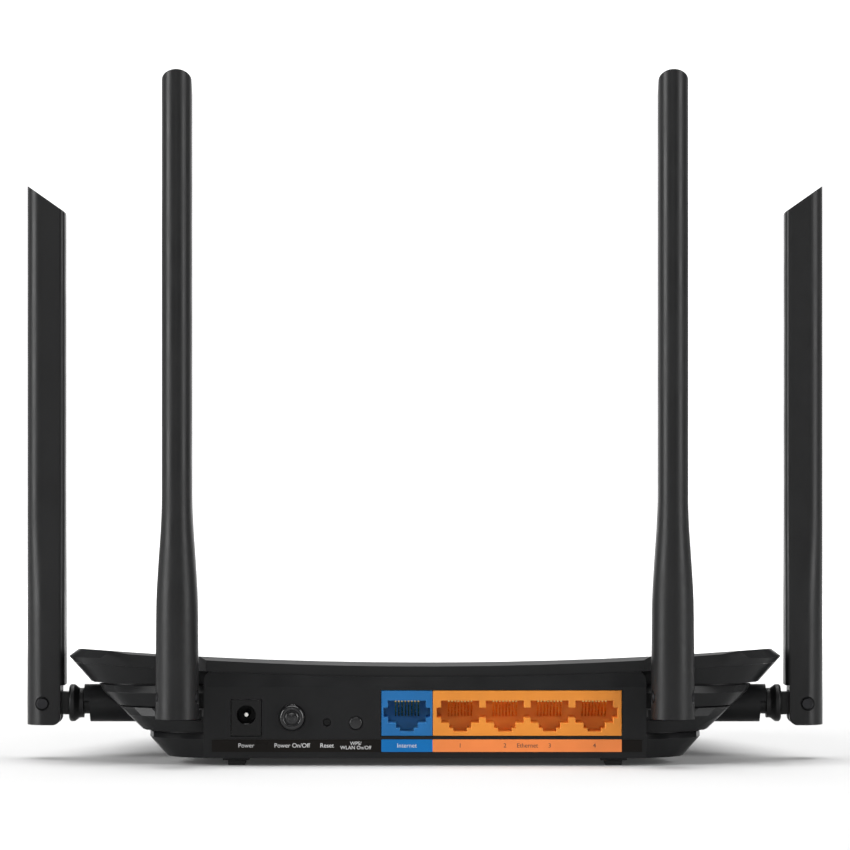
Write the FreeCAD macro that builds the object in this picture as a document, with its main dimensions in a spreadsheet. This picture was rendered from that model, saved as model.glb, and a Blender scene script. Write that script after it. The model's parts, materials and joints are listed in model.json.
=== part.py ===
import FreeCAD, Part
import math
import os
import re

import Sketcher

# Wireless router with four hinged antennas.
# Frame: +Z up, desk at z = 0, origin in the middle of the footprint;
# +Y is the rear, where the sockets are, and -Y is the front with the lights.

V = FreeCAD.Vector
doc = FreeCAD.newDocument("WirelessRouter")

SIZES = {
    # case
    "case_width": 225.6,  # across the wing tips
    "case_depth": 144.0,  # nose to socket panel
    "foot_height": 2.4,
    "wall": 2.0,
    "lid_middle": 32.2,  # height of the lid's rear edge in the middle
    "lid_chord": 216.0,
    "lid_sag": 4.4,  # dip of the lid's top below that chord
    "lid_slope": 3.2,  # degrees, falling towards the front
    "lid_rim": 4.6,
    "lid_bevel": 1.3,
    "bevel_slope": 25.0,  # degrees
    "lid_skin": 2.0,
    "seam": 0.02,
    "tongue_up": 1.2,  # rim of the case inside the lid, above the seam
    "tongue_gap": 0.2,
    "inner_top": 38.0,  # above every part of the lid
    "corner_run": 18.0,  # swept corners at the rear, along X
    "corner_back": 17.0,  # and along Y
    "side_taper": 21.0,  # how much narrower the front is, each side
    "nose_run": 14.0,
    "nose_back": 7.0,
    "nose_share": 0.4,  # how far the front recedes for each mm at the sides
    "strip_half": 68.5,  # half length of the lid's rear strip
    "strip_back": 3.0,  # strip behind the panel plane
    "strip_slant": 4.5,
    # socket panel
    "panel_half": 69.1,
    "panel_root": 12.0,  # depth of the panel block
    "panel_chamfer_up": 24.6,
    "panel_chamfer_rise": 8.0,
    "panel_chamfer_back": 4.6,
    "panel_top": 29.5,
    "panel_corner": 3.0,
    "panel_hole_gap": 0.2,
    "panel_side_wall": 3.1,
    "cavity_low_back": 14.0,  # cavities, behind the panel plane
    "cavity_high_back": 10.5,
    "cavity_step_up": 10.2,
    # board
    "board_up": 7.8,  # underside of the board
    "board_thick": 1.6,
    "board_half": 64.0,
    "board_front": -35.0,
    "board_narrowing": 10.0,
    "board_taper": 10.0,
    "board_gap": 0.5,  # to the inside of the panel
    # network sockets
    "jack_height": 14.1,
    "jack_depth": 16.0,
    "jack_recess": 0.15,
    "wan_x": 5.66,
    "wan_width": 15.9,
    "lan_x": -31.93,
    "lan_width": 58.9,
    "port_pitch": 13.97,
    "port_width": 11.9,
    "port_top": 11.0,  # above the board
    "port_floor": 4.0,
    "port_deep": 12.5,
    "latch_wide": 6.8,
    "latch_wide_up": 2.3,
    "latch_narrow": 4.3,
    "latch_narrow_up": 1.3,
    "ear_wide": 1.4,
    "ear_low": 5.6,
    "ear_high": 8.8,
    "contact_pitch": 1.02,
    "contact_width": 0.45,
    "contact_thick": 0.35,
    # power socket
    "dc_x": 55.8,
    "dc_width": 9.3,
    "dc_height": 11.2,
    "dc_depth": 14.0,
    "dc_hole": 6.0,
    "dc_hole_up": 6.5,
    "dc_hole_deep": 10.0,
    "dc_pin": 2.0,
    "dc_pin_reach": 8.6,
    "dc_pin_tail": 1.2,
    "dc_pin_nose": 0.7,
    "dc_spring_wide": 2.3,
    "dc_spring_thick": 0.4,
    "dc_spring_drop": 1.18,
    "dc_spring_start": 4.5,
    "dc_play": 0.05,
    # buttons
    "power_x": 41.5,
    "power_up": 15.1,
    "power_size": 8.0,
    "power_proud": 2.2,
    "power_cap": 5.0,  # length of the cap
    "power_switch_wide": 8.4,
    "power_switch_deep": 12.0,
    "power_switch_tall": 8.6,
    "power_switch_back": 12.0,  # front of the switch, behind the panel plane
    "wps_x": 21.6,
    "wps_up": 13.4,
    "wps_size": 4.0,
    "wps_proud": 0.3,
    "wps_cap": 3.6,
    "small_switch_wide": 6.2,
    "small_switch_deep": 6.4,
    "small_switch_back": 9.0,
    "switch_over": 0.4,  # top of a small switch above its button's stem bore
    "reset_x": 30.6,
    "reset_up": 13.6,
    "reset_hole": 2.5,
    "reset_size": 2.1,
    "reset_sunk": 0.9,
    "reset_cap": 2.4,
    "groove_deep": 0.35,  # ring pressed into the power button's face
    "button_gap": 0.15,
    "stem_size": 2.4,
    "stem_bore": 2.8,
    "stem_reach": 3.0,
    # antennas
    "pivot_outer": 5.3,  # pivot to the blade's outer face
    "pivot_inner": 6.95,
    "pivot_relief": 5.7,
    "relief_up": 5.8,
    "blade_below": 6.84,
    "blade_thick": 9.24,
    "base_thick": 13.3,
    "waist_thick": 12.9,
    "waist_up": 25.0,
    "stalk_up": 63.0,
    "side_blade": 165.1,  # pivot to the tallest point
    "rear_blade": 194.5,
    "blade_slant": 8.0,
    "blade_tip": 1.5,  # corner cut off the tallest point
    "blade_round": 5.0,
    "blade_corner": 2.0,
    "heel_round": 2.6,
    "tongue_thick": 6.0,
    "tongue_half": 3.6,
    "tongue_side_gap": 0.15,
    "tongue_round_gap": 0.35,
    "pin_size": 3.0,
    "pin_head": 3.8,
    "pin_head_thick": 0.8,
    "pin_recess": 4.6,
    "pin_recess_deep": 1.1,
    "pin_hold": 0.02,
    "pin_run": 0.1,
    "flange_near": 8.2,  # pivot to the flange's outer face
    "flange_size": 11.9,
    "flange_thick": 1.7,
    "barrel_size": 9.5,
    "cone_long": 1.6,
    "barrel_end": 12.9,
    "face_gap": 0.15,
    "shaft_size": 7.0,
    "shaft_run": 0.1,
    "socket_wall": 3.0,
    "clip_thick": 0.8,
    "clip_size": 9.0,
    "clip_gap": 0.15,
    "bore_reach": 20.0,  # shaft bores and side bosses, past the barrel
    "counterbore_reach": 26.0,
    "shaft_groove": 5.8,
    "shaft_spare": 1.2,
    "lead_size": 1.5,
    "lead_bore": 2.6,
    "boss_size": 12.0,
    "boss_step": 1.9,
    "boss_split": 0.9,
    "boss_face": 4.15,  # boss end inside the wing tip
    "counterbore": 9.8,
    "side_antenna_back": 36.0,
    "side_antenna_up": 17.7,
    "rear_antenna_x": 77.0,
    "rear_antenna_up": 22.0,
    "notch_half": 7.2,
    "notch_down": 8.0,
    "notch_deep": 4.5,
    "radiator_bore": 5.0,
    "radiator_size": 4.4,
    "radiator_rod": 1.4,
    # packages on the board
    "chip_stand": 0.1,
    "pin_out": 0.8,
    "pin_wide": 0.4,
    "pin_thick": 0.3,
    "sink_x": 6.0,
    "sink_front": 5.0,
    "sink_side": 22.0,
    "sink_up": 1.6,  # on top of the processor
    "sink_plate": 1.6,
    "fin_pitch": 2.95,
    "fin_thick": 1.0,
    "fin_tall": 6.4,
    "can_long": 26.0,
    "can_wide": 22.0,
    "can_tall": 3.4,
    "can_sheet": 0.4,
    "can_x": 42.0,
    "can_y": -8.0,
    "can_vent": 1.2,
    "can_vent_pitch": 4.5,
    # label strip under the sockets
    "label_left": -67.7,
    "label_right": 66.5,
    "label_up": 4.4,
    "label_height": 3.9,
    "label_thick": 0.15,
    # screws and feet
    "case_screw_wide": 71.0,
    "case_screw_back": 24.0,
    "case_screw_narrow": 54.0,
    "case_screw_front": -40.0,
    "screw_head": 5.6,
    "screw_head_thick": 2.0,
    "screw_shank": 2.6,
    "screw_fit": 0.1,
    "screw_boss": 7.6,
    "screw_play": 0.4,  # across a passing hole, and round a sunk head
    "screw_recess": 2.0,  # floor to the sunk head's seat
    "drive_wide": 0.8,
    "drive_deep": 1.0,
    "drive_long": 3.2,
    "screw_meet": 14.0,
    "screw_bite": 7.0,
    "board_screw_wide": 60.5,
    "board_screw_back": 40.0,
    "board_screw_narrow": 50.0,
    "board_screw_front": -30.0,
    "board_head": 5.0,
    "board_head_thick": 1.6,
    "board_shank": 2.4,
    "foot_wide_x": 59.0,
    "foot_back": 62.0,
    "foot_narrow_x": 42.0,
    "foot_front": -49.0,
    "foot_wide": 8.4,
    "foot_long": 15.0,
    "foot_step": 1.5,
    "foot_flange": 0.8,
    # glossy inlay on the lid and its row of lights
    "inlay_half": 33.0,
    "inlay_front": -64.0,
    "inlay_back": 46.0,
    "inlay_thick": 0.8,
    "inlay_gap": 0.1,
    "lamp_back": -31.0,
    "lamp_pitch": 7.0,
    "lamp_size": 1.8,
    "lamp_gap": 0.1,
    "guide_bar_wide": 2.4,
    "guide_bar_thick": 1.6,
    "guide_bar_up": 6.0,
    "slot_first": 40.0,
    "slot_pitch": 4.0,
    "slot_wide": 1.6,
    "slot_front": -40.0,
    "slot_long": 64.0,
    # air slots in the floor
    "vent_pitch": 6.0,
    "vent_wide": 2.2,
    "vent_long": 24.0,
    "vent_back": 8.0,
    # keyholes for wall mounting
    "keyhole_x": 30.0,
    "keyhole_front": -47.0,
    "keyhole_size": 8.0,
    "keyhole_slot": 4.0,
    "keyhole_run": 7.0,
}

# Terraces of the case from the bottom up: each layer's lower and upper
# height, inset from the wing tip and inset from the panel plane.
TERRACES = [
    (2.4, 31.4, 0.0, 8.4, 26.1, 0.0),
    (8.4, 26.1, 0.0, 10.0, 26.1, 1.8),
    (10.0, 26.9, 2.9, 10.5, 26.9, 2.9),
    (10.5, 23.7, 2.5, 15.2, 18.7, 2.5),
    (15.2, 18.7, 2.5, 17.7, 16.0, 5.0),
    (17.7, 16.7, 5.8, 18.2, 16.2, 5.8),
    (18.2, 15.4, 5.0, 22.4, 10.9, 5.0),
    (22.4, 10.9, 5.0, 24.6, 9.6, 7.2),
    (24.6, 10.2, 8.6, 25.3, 10.2, 8.6),
    (25.3, 7.1, 7.5, 33.2, 0.0, 7.5),
    (33.2, 0.0, 7.5, 40.0, 9.0, 7.5),
]
TERRACE_PARTS = ("low", "low_side", "low_back", "high", "high_side", "high_back")
for number, terrace in enumerate(TERRACES):
    for part, value in zip(TERRACE_PARTS, terrace):
        SIZES["layer_%s_%s" % ("abcdefghijk"[number], part)] = value

sheet = doc.addObject("Spreadsheet::Sheet", "Sizes")
for row, (alias, value) in enumerate(SIZES.items(), start=1):
    sheet.set("A%d" % row, alias)
    sheet.set("B%d" % row, str(value))
    sheet.setAlias("B%d" % row, alias)
doc.recompute()


def size(alias):
    return float(sheet.get(alias))


def formula(text):
    """Write a formula with plain size names as a spreadsheet expression."""
    return re.sub(r"[a-z][a-z_]+", lambda word: "Sizes." + word[0] if word[0] in SIZES else word[0], text)


def bind(obj, path, text):
    obj.setExpression(path, formula(text))


def place(obj, x, y, z):
    for axis, text in zip("xyz", (x, y, z)):
        bind(obj, ".Placement.Base." + axis, text)
    return obj


# ---------------------------------------------------------------- primitives

def box(name, x, y, z, length, width, height):
    """Box from its middle in X, its low faces in Y and Z, and its three sizes."""
    obj = doc.addObject("Part::Box", name)
    bind(obj, "Length", length)
    bind(obj, "Width", width)
    bind(obj, "Height", height)
    return place(obj, "(%s) - (%s) / 2" % (x, length), y, z)


TURNS = {
    "x": FreeCAD.Rotation(V(0, 1, 0), 90),
    "y": FreeCAD.Rotation(V(1, 0, 0), -90),
    "z": FreeCAD.Rotation(),
}


def cylinder(name, axis, x, y, z, diameter, height):
    """Cylinder whose lower end is at x, y, z and which runs along +axis."""
    obj = doc.addObject("Part::Cylinder", name)
    obj.Placement = FreeCAD.Placement(V(), TURNS[axis])
    bind(obj, "Radius", "(%s) / 2" % diameter)
    bind(obj, "Height", height)
    return place(obj, x, y, z)


def cone(name, axis, x, y, z, low, high, height):
    obj = doc.addObject("Part::Cone", name)
    obj.Placement = FreeCAD.Placement(V(), TURNS[axis])
    bind(obj, "Radius1", "(%s) / 2" % low)
    bind(obj, "Radius2", "(%s) / 2" % high)
    bind(obj, "Height", height)
    return place(obj, x, y, z)


def fuse(name, pieces):
    obj = doc.addObject("Part::MultiFuse", name)
    obj.Shapes = pieces
    return obj


def group(name, pieces):
    obj = doc.addObject("Part::Compound", name)
    obj.Links = pieces
    return obj


def common(name, first, second):
    obj = doc.addObject("Part::Common", name)
    obj.Base = first
    obj.Tool = second
    return obj


def cut(name, base, tools):
    tool = tools[0] if len(tools) == 1 else group(name + "_cuts", tools)
    obj = doc.addObject("Part::Cut", name)
    obj.Base = base
    obj.Tool = tool
    return obj


def sub_part(obj, label):
    """Name a finished sub-part: the label is its file's name."""
    obj.Label = label
    PARTS.append(obj)
    return obj


PARTS = []


# ------------------------------------------------------------------- sketches

def origin_plane(body, role):
    return next(item for item in body.Origin.OriginFeatures if item.Role == role)


def new_body(name):
    return doc.addObject("PartDesign::Body", name)


START_RING = 50  # radius of the ring on which an outline's corners start


def outline(body, name, role, points, lift=None):
    """Closed polygon whose corners are formulas, on one of the origin planes."""
    sketch = body.newObject("Sketcher::SketchObject", name)
    sketch.AttachmentSupport = [(origin_plane(body, role), "")]
    sketch.MapMode = "FlatFace"
    if lift:
        bind(sketch, ".AttachmentOffset.Base.z", lift)
    count = len(points)
    turns = [2 * math.pi * n / count for n in range(count)]
    around = [V(START_RING * math.cos(turn), START_RING * math.sin(turn), 0) for turn in turns]
    for n in range(count):
        sketch.addGeometry(Part.LineSegment(around[n], around[(n + 1) % count]), False)
    for n in range(count):
        sketch.addConstraint(Sketcher.Constraint("Coincident", n, 2, (n + 1) % count, 1))
    for n, (across, up) in enumerate(points):
        for kind, text, start in (("DistanceX", across, around[n].x), ("DistanceY", up, around[n].y)):
            index = sketch.addConstraint(Sketcher.Constraint(kind, -1, 1, n, 1, start))
            bind(sketch, "Constraints[%d]" % index, text)
    return sketch


def circle(body, name, role, across, up, diameter, lift=None):
    sketch = body.newObject("Sketcher::SketchObject", name)
    sketch.AttachmentSupport = [(origin_plane(body, role), "")]
    sketch.MapMode = "FlatFace"
    if lift:
        bind(sketch, ".AttachmentOffset.Base.z", lift)
    sketch.addGeometry(Part.Circle(V(1, 1, 0), V(0, 0, 1), 5), False)
    for kind, text in (("DistanceX", across), ("DistanceY", up)):
        index = sketch.addConstraint(Sketcher.Constraint(kind, -1, 1, 0, 3, 1))
        bind(sketch, "Constraints[%d]" % index, text)
    index = sketch.addConstraint(Sketcher.Constraint("Diameter", 0, 10))
    bind(sketch, "Constraints[%d]" % index, diameter)
    return sketch


def extrude(body, name, sketch, length, middle=False, reverse=False):
    feature = body.newObject("PartDesign::Pad", name)
    feature.Profile = sketch
    bind(feature, "Length", length)
    feature.Midplane = middle
    feature.Reversed = reverse
    return feature


# ----------------------------------------------------------------- case shapes

LAYER_NAMES = "abcdefghijk"[:len(TERRACES)]


CORNER_STEPS = 4


def plan(half, back, front):
    """Corners of the case seen from above: swept rear corners, narrower at the nose."""
    right = []
    for step in range(CORNER_STEPS + 1):
        turn = 90 * step / CORNER_STEPS
        right.append((
            "(%s) - corner_run * (1 - sin(%s))" % (half, turn),
            "(%s) - corner_back * (1 - cos(%s))" % (back, turn),
        ))
    right += [
        ("(%s) - side_taper" % half, "(%s) + nose_back" % front),
        ("(%s) - side_taper - nose_run" % half, front),
    ]
    left = [("-(%s)" % across, along) for across, along in reversed(right)]
    return right + left


def terraced_case():
    """The stepped outer form of case and lid together, one loft for each terrace."""
    body = new_body("CaseForm")
    for letter in LAYER_NAMES:
        sections = []
        for level in ("low", "high"):
            side = "layer_%s_%s_side" % (letter, level)
            back = "layer_%s_%s_back" % (letter, level)
            corners = plan(
                "case_width / 2 - " + side,
                "case_depth / 2 - " + back,
                "-case_depth / 2 + nose_share * " + side,
            )
            lift = "layer_%s_%s" % (letter, level)
            sections.append(outline(body, "Terrace_%s_%s" % (letter, level), "XY_Plane", corners, lift))
        loft = body.newObject("PartDesign::AdditiveLoft", "Layer_" + letter)
        loft.Profile = sections[0]
        loft.Sections = [sections[1]]
        loft.Ruled = True
    return body


DISH_RADIUS = "((lid_chord / 2) ^ 2 / (2 * lid_sag) + lid_sag / 2)"


def dish(name, drop, slope="lid_slope", reach="case_depth / 2 - strip_back"):
    """Huge lying cylinder whose underside is the lid's top surface, lowered by drop at reach."""
    obj = doc.addObject("Part::Cylinder", name)
    obj.Placement = FreeCAD.Placement(V(), FreeCAD.Rotation(V(-1, 0, 0), 90))
    bind(obj, "Radius", DISH_RADIUS)
    bind(obj, "Height", "4 * case_depth")
    bind(obj, ".Placement.Rotation.Angle", "90 - (%s)" % slope)
    return place(
        obj,
        "0",
        "(%s) - 2 * case_depth * cos(%s) - %s * sin(%s)" % (reach, slope, DISH_RADIUS, slope),
        "lid_middle - (%s) + %s * cos(%s) - 2 * case_depth * sin(%s)" % (drop, DISH_RADIUS, slope, slope),
    )


def plan_block(name, half, back, front, low, high):
    body = new_body(name)
    sketch = outline(body, name + "Plan", "XY_Plane", plan(half, back, front), low)
    extrude(body, name + "Pad", sketch, "(%s) - (%s)" % (high, low))
    return body


def lid_strip():
    body = new_body("LidStrip")
    back = "case_depth / 2 - strip_back"
    wing = "case_depth / 2 - layer_j_low_back"
    inner = "case_depth / 2 - 3 * strip_slant"
    right = [("strip_half", back), ("strip_half + strip_slant", wing), ("strip_half + strip_slant", inner)]
    left = [("-(%s)" % across, along) for across, along in reversed(right)]
    sketch = outline(body, "LidStripPlan", "XY_Plane", right + left, "layer_j_low")
    extrude(body, "LidStripPad", sketch, "layer_k_high - layer_j_low")
    return body


def socket_panel():
    """Square block at the rear for the sockets: sloping top edge, rounded upper corners."""
    side = new_body("PanelSideForm")
    back = "case_depth / 2"
    root = "case_depth / 2 - panel_root"
    top = "panel_chamfer_up + panel_chamfer_rise"
    points = [
        (root, "foot_height"),
        (back, "foot_height"),
        (back, "panel_chamfer_up"),
        (back + " - panel_chamfer_back", top),
        (root, top),
    ]
    profile = outline(side, "PanelSide", "YZ_Plane", points)
    extrude(side, "PanelSidePad", profile, "2 * panel_half", middle=True)
    face = new_body("PanelFaceForm")
    corners = [
        ("-panel_half", "foot_height"), ("panel_half", "foot_height"),
        ("panel_half", "panel_top"), ("-panel_half", "panel_top")]
    front = outline(face, "PanelFace", "XZ_Plane", corners)
    pad = extrude(face, "PanelFacePad", front, "2 * case_depth", middle=True)
    doc.recompute()
    fillet = face.newObject("PartDesign::Fillet", "PanelCorners")
    fillet.Base = (pad, [
        "Edge%d" % number for number, edge in enumerate(pad.Shape.Edges, start=1)
        if edge.BoundBox.YLength > size("case_depth") and edge.BoundBox.ZMin > size("panel_chamfer_up")])
    bind(fillet, "Radius", "panel_corner")
    return common("PanelBlock", side, face)


# The four antenna sockets: name, sign and direction of the connector axis.
ANTENNAS = [
    ("side_right", 1, "x"),
    ("side_left", -1, "x"),
    ("rear_right", 1, "y"),
    ("rear_left", -1, "y"),
]
SIDE_PIVOT = "(case_width / 2 - boss_face + face_gap + barrel_end)"
REAR_PIVOT = "(case_depth / 2 - notch_deep + face_gap + barrel_end)"


def signed(sign, text):
    return text if sign > 0 else "-(%s)" % text


def rod_to_case(name, sign, axis, near, far, diameter):
    """Cylinder on a connector's axis, from near to far behind its pivot."""
    if axis == "y":
        return cylinder(
            name, "y", signed(sign, "rear_antenna_x"), REAR_PIVOT + " - (%s)" % far, "rear_antenna_up",
            diameter, "(%s) - (%s)" % (far, near))
    start = SIDE_PIVOT + " - (%s)" % far if sign > 0 else "-%s + (%s)" % (SIDE_PIVOT, near)
    return cylinder(
        name, "x", start, "side_antenna_back", "side_antenna_up", diameter, "(%s) - (%s)" % (far, near))


# Half width, back and front of the hollow under the lid.
LID_INSIDE = (
    "case_width / 2 - layer_i_low_side - wall",
    "case_depth / 2 - layer_i_low_back - wall",
    "-case_depth / 2 + nose_share * layer_i_low_side + wall",
)
SCREW_SEAT = "foot_height + wall + screw_recess"


def lower_case():
    """Tray with the swept underside, antenna sockets, screw posts and a rim inside the lid."""
    form = fuse("CaseOuter", [CASE_FORM, socket_panel()])
    adds = [form]
    rim_plan = plan_block(
        "TonguePlan", LID_INSIDE[0] + " - tongue_gap", LID_INSIDE[1] + " - tongue_gap",
        LID_INSIDE[2] + " + tongue_gap", "panel_chamfer_up", "inner_top")
    tongue = cut("Tongue", rim_plan, [dish("TongueTop", "lid_rim - tongue_up")])
    cuts = [cut("CaseTop", dish("CaseDish", "lid_rim + seam"), [tongue])]
    face = "barrel_end + face_gap"
    for name, sign, axis in ANTENNAS:
        if axis == "x":
            adds.append(rod_to_case(
                name + "_boss", sign, axis, face, "barrel_end + bore_reach", "boss_size"))
            step_x = SIDE_PIVOT + " - barrel_end - face_gap - boss_step / 2"
            cuts.append(box(
                name + "_step", signed(sign, step_x), "side_antenna_back - boss_size", "0", "boss_step",
                "2 * boss_size", "side_antenna_up + boss_split"))
        else:
            cuts.append(box(
                name + "_notch", signed(sign, "rear_antenna_x"), "case_depth / 2 - notch_deep",
                "rear_antenna_up - notch_down", "2 * notch_half", "notch_deep + 1", "2 * notch_down"))
        cuts.append(rod_to_case(
            name + "_bore", sign, axis, "barrel_end", "barrel_end + bore_reach",
            "shaft_size + 2 * shaft_run"))
        cuts.append(rod_to_case(
            name + "_counterbore", sign, axis, face + " + socket_wall",
            "barrel_end + counterbore_reach", "counterbore"))
    floor = "foot_height + wall"
    cuts.append(box(
        "CavityPanel", "0", "0", floor, "2 * (panel_half - panel_side_wall)", "case_depth / 2 - wall",
        "panel_chamfer_up - wall / 5 - (%s)" % floor))
    cuts.append(plan_block(
        "CavityLow", "case_width / 2 - layer_a_low_side - wall", "case_depth / 2 - cavity_low_back",
        "-case_depth / 2 + nose_share * layer_a_low_side + wall", floor, "inner_top"))
    cuts.append(plan_block(
        "CavityHigh", "case_width / 2 - layer_e_low_side - 3 * wall", "case_depth / 2 - cavity_high_back",
        "-case_depth / 2 + nose_share * layer_e_low_side + 2 * wall", "foot_height + cavity_step_up",
        "inner_top"))
    cuts += socket_openings() + floor_openings()
    shell = cut("CaseShell", fuse("CaseWithBosses", adds), cuts)
    posts = []
    for n, (x, y) in enumerate(CASE_SCREWS):
        posts.append(cylinder(
            "CasePost%d" % n, "z", x, y, "foot_height", "screw_boss", "screw_meet - foot_height"))
    for n, (x, y) in enumerate(BOARD_SCREWS):
        posts.append(cylinder(
            "BoardPost%d" % n, "z", x, y, "foot_height", "board_head + 1", "board_up - foot_height"))
    holes = []
    for n, (x, y) in enumerate(CASE_SCREWS):
        holes.append(cylinder(
            "CaseSink%d" % n, "z", x, y, "0", "screw_head + screw_play", SCREW_SEAT))
        holes.append(cylinder("CaseHole%d" % n, "z", x, y, "0", "screw_shank + screw_play", "inner_top"))
    for n, (x, y) in enumerate(BOARD_SCREWS):
        holes.append(cylinder(
            "BoardHole%d" % n, "z", x, y, "foot_height + wall / 2", "board_shank + screw_fit", "inner_top"))
    return sub_part(cut("LowerCase", fuse("CaseWithPosts", [shell] + posts), holes), "lower_case")


def socket_openings():
    """Holes in the rear panel for sockets, buttons and the reset pin."""
    inside = "case_depth / 2 - wall - 1"
    through = "wall + 2"
    board_top = "board_up + board_thick"
    gap = "panel_hole_gap"
    openings = []
    for name, x, width, height in (
        ("Wan", "wan_x", "wan_width", "jack_height"),
        ("Lan", "lan_x", "lan_width", "jack_height"),
        ("Dc", "dc_x", "dc_width", "dc_height"),
    ):
        openings.append(box(
            name + "Opening", x, inside, board_top + " - " + gap,
            width + " + 2 * " + gap, through, height + " + 2 * " + gap))
    for name, x, up, diameter in (
        ("Power", "power_x", "power_up", "power_size + 2 * button_gap"),
        ("Wps", "wps_x", "wps_up", "wps_size + 2 * button_gap"),
        ("Reset", "reset_x", "reset_up", "reset_hole"),
    ):
        openings.append(cylinder(name + "Hole", "y", x, inside, up, diameter, through))
    return openings


VENTS = 15


def floor_openings():
    """Air slots and two keyholes through the floor."""
    below = "foot_height - 1"
    deep = "wall + 2"
    openings = []
    for n in range(VENTS):
        x = "vent_pitch * %s" % (n - (VENTS - 1) / 2)
        for side, start in (("Front", "-vent_long"), ("Back", "vent_back")):
            openings.append(box(
                "FloorSlot%s%d" % (side, n), x, start, below, "vent_wide", "vent_long", deep))
    for name, sign in (("Right", 1), ("Left", -1)):
        x = signed(sign, "keyhole_x")
        openings.append(cylinder("Keyhole" + name, "z", x, "keyhole_front", below, "keyhole_size", deep))
        openings.append(box(
            "KeySlot" + name, x, "keyhole_front - keyhole_run", below, "keyhole_slot", "keyhole_run", deep))
        openings.append(cylinder(
            "KeyEnd" + name, "z", x, "keyhole_front - keyhole_run", below, "keyhole_slot", deep))
    return openings


def four_places(kind):
    """Two places at the wide rear and two at the narrow front."""
    return [
        (signed(sign, "%s_%s" % (kind, across)), "%s_%s" % (kind, along))
        for sign in (1, -1) for across, along in (("wide", "back"), ("narrow", "front"))
    ]


CASE_SCREWS = four_places("case_screw")
BOARD_SCREWS = four_places("board_screw")


LID_SLOTS = 12
LAMPS = 8


def lamp_x(number):
    return "lamp_pitch * %s" % (number - (LAMPS - 1) / 2)


def inlay_block(name, gap):
    """Long hexagon of the inlay seen from above, standing through the lid."""
    body = new_body(name)
    wide = "inlay_half + " + gap
    right = [
        ("(%s) - 8" % wide, "inlay_back + " + gap),
        (wide, "inlay_back - 20 + " + gap),
        ("(%s) - 9" % wide, "inlay_front - " + gap),
    ]
    left = [("-(%s)" % across, along) for across, along in reversed(right)]
    extrude(body, name + "Pad", outline(body, name + "Plan", "XY_Plane", right + left, "15"), "23")
    return body


def lamp_wells(name, extra):
    return [
        cylinder("%s%d" % (name, n), "z", lamp_x(n), "lamp_back", "15", "lamp_size + " + extra, "23")
        for n in range(LAMPS)
    ]


def top_cover():
    """Thin concave lid with air slots, screw bosses and a shallow bed for the inlay."""
    form = fuse("LidForm", [CASE_FORM, lid_strip()])
    slab = cut("LidSlab", common("LidUnder", form, dish("LidSeam", "lid_rim")), [dish("LidTop", "0")])
    wing_bevel = dish("WingBevelForm", "lid_bevel", "-bevel_slope", "case_depth / 2 - layer_j_low_back")
    middle = box(
        "WingBevelMiddle", "0", "-case_depth", "-case_depth", "2 * strip_half + strip_slant",
        "3 * case_depth", "3 * case_depth")
    bevels = [dish("LidBevel", "lid_bevel", "-bevel_slope"), cut("WingBevel", wing_bevel, [middle])]
    inside = plan_block("LidHollowBlock", *LID_INSIDE, "screw_meet + 1", "inner_top")
    hollow = cut("LidHollow", inside, [dish("LidSkin", "lid_skin")])
    bed = common("InlayBed", inlay_block("InlayBedBlock", "inlay_gap"), dish("InlayBedFloor", "inlay_thick"))
    slots = []
    for n in range(LID_SLOTS):
        for side, sign in (("Right", 1), ("Left", -1)):
            x = signed(sign, "slot_first + slot_pitch * %d" % n)
            start = "slot_front + 1.5 * %d" % n
            slots.append(box(
                "LidSlot%s%d" % (side, n), x, start, "15", "slot_wide", "slot_long - 2.5 * %d" % n, "23"))
    bevelled = cut("LidBevelTwo", cut("LidBevelOne", slab, [bevels[0]]), [bevels[1]])
    shell = cut("LidShell", bevelled, [hollow, bed] + slots + lamp_wells("LidWell", "2 * lamp_gap"))
    bosses = [
        cylinder("LidBoss%d" % n, "z", x, y, "screw_meet", "screw_boss - 1", "24")
        for n, (x, y) in enumerate(CASE_SCREWS)
    ]
    bosses = cut("LidBosses", group("LidBossForms", bosses), [dish("LidBossTop", "lid_skin / 2")])
    holes = [
        cylinder("LidPilot%d" % n, "z", x, y, "screw_meet - 1", "screw_shank + screw_fit", "screw_bite + 1.6")
        for n, (x, y) in enumerate(CASE_SCREWS)
    ]
    return sub_part(cut("TopCover", fuse("LidWithBosses", [shell, bosses]), holes), "top_cover")


def inlay_panel():
    slab = common("InlaySlab", inlay_block("InlayBlock", "0"), dish("InlaySeat", "inlay_thick - 0.02"))
    wells = lamp_wells("InlayWell", "2 * lamp_gap")
    return sub_part(cut("Inlay", slab, [dish("InlayTop", "0")] + wells), "inlay_panel")


def cross_recess(name, x, y, up):
    """Two crossed slots for the screwdriver."""
    return [
        box(name + "Along", x, "(%s) - drive_wide / 2" % y, up, "drive_long", "drive_wide", "drive_deep"),
        box(name + "Across", x, "(%s) - drive_long / 2" % y, up, "drive_wide", "drive_long", "drive_deep"),
    ]


def case_screws():
    screws = []
    for n, (x, y) in enumerate(CASE_SCREWS):
        below = SCREW_SEAT + " - screw_head_thick"
        head = cylinder("CaseHead%d" % n, "z", x, y, below, "screw_head", "screw_head_thick")
        shank = cylinder(
            "CaseShank%d" % n, "z", x, y, SCREW_SEAT, "screw_shank",
            "screw_meet + screw_bite - (%s)" % SCREW_SEAT)
        drive = cross_recess("CaseDrive%d" % n, x, y, below)
        screws.append(cut("CaseScrew%d" % n, fuse("CaseBolt%d" % n, [head, shank]), drive))
    return sub_part(group("CaseScrews", screws), "case_screws")


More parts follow.
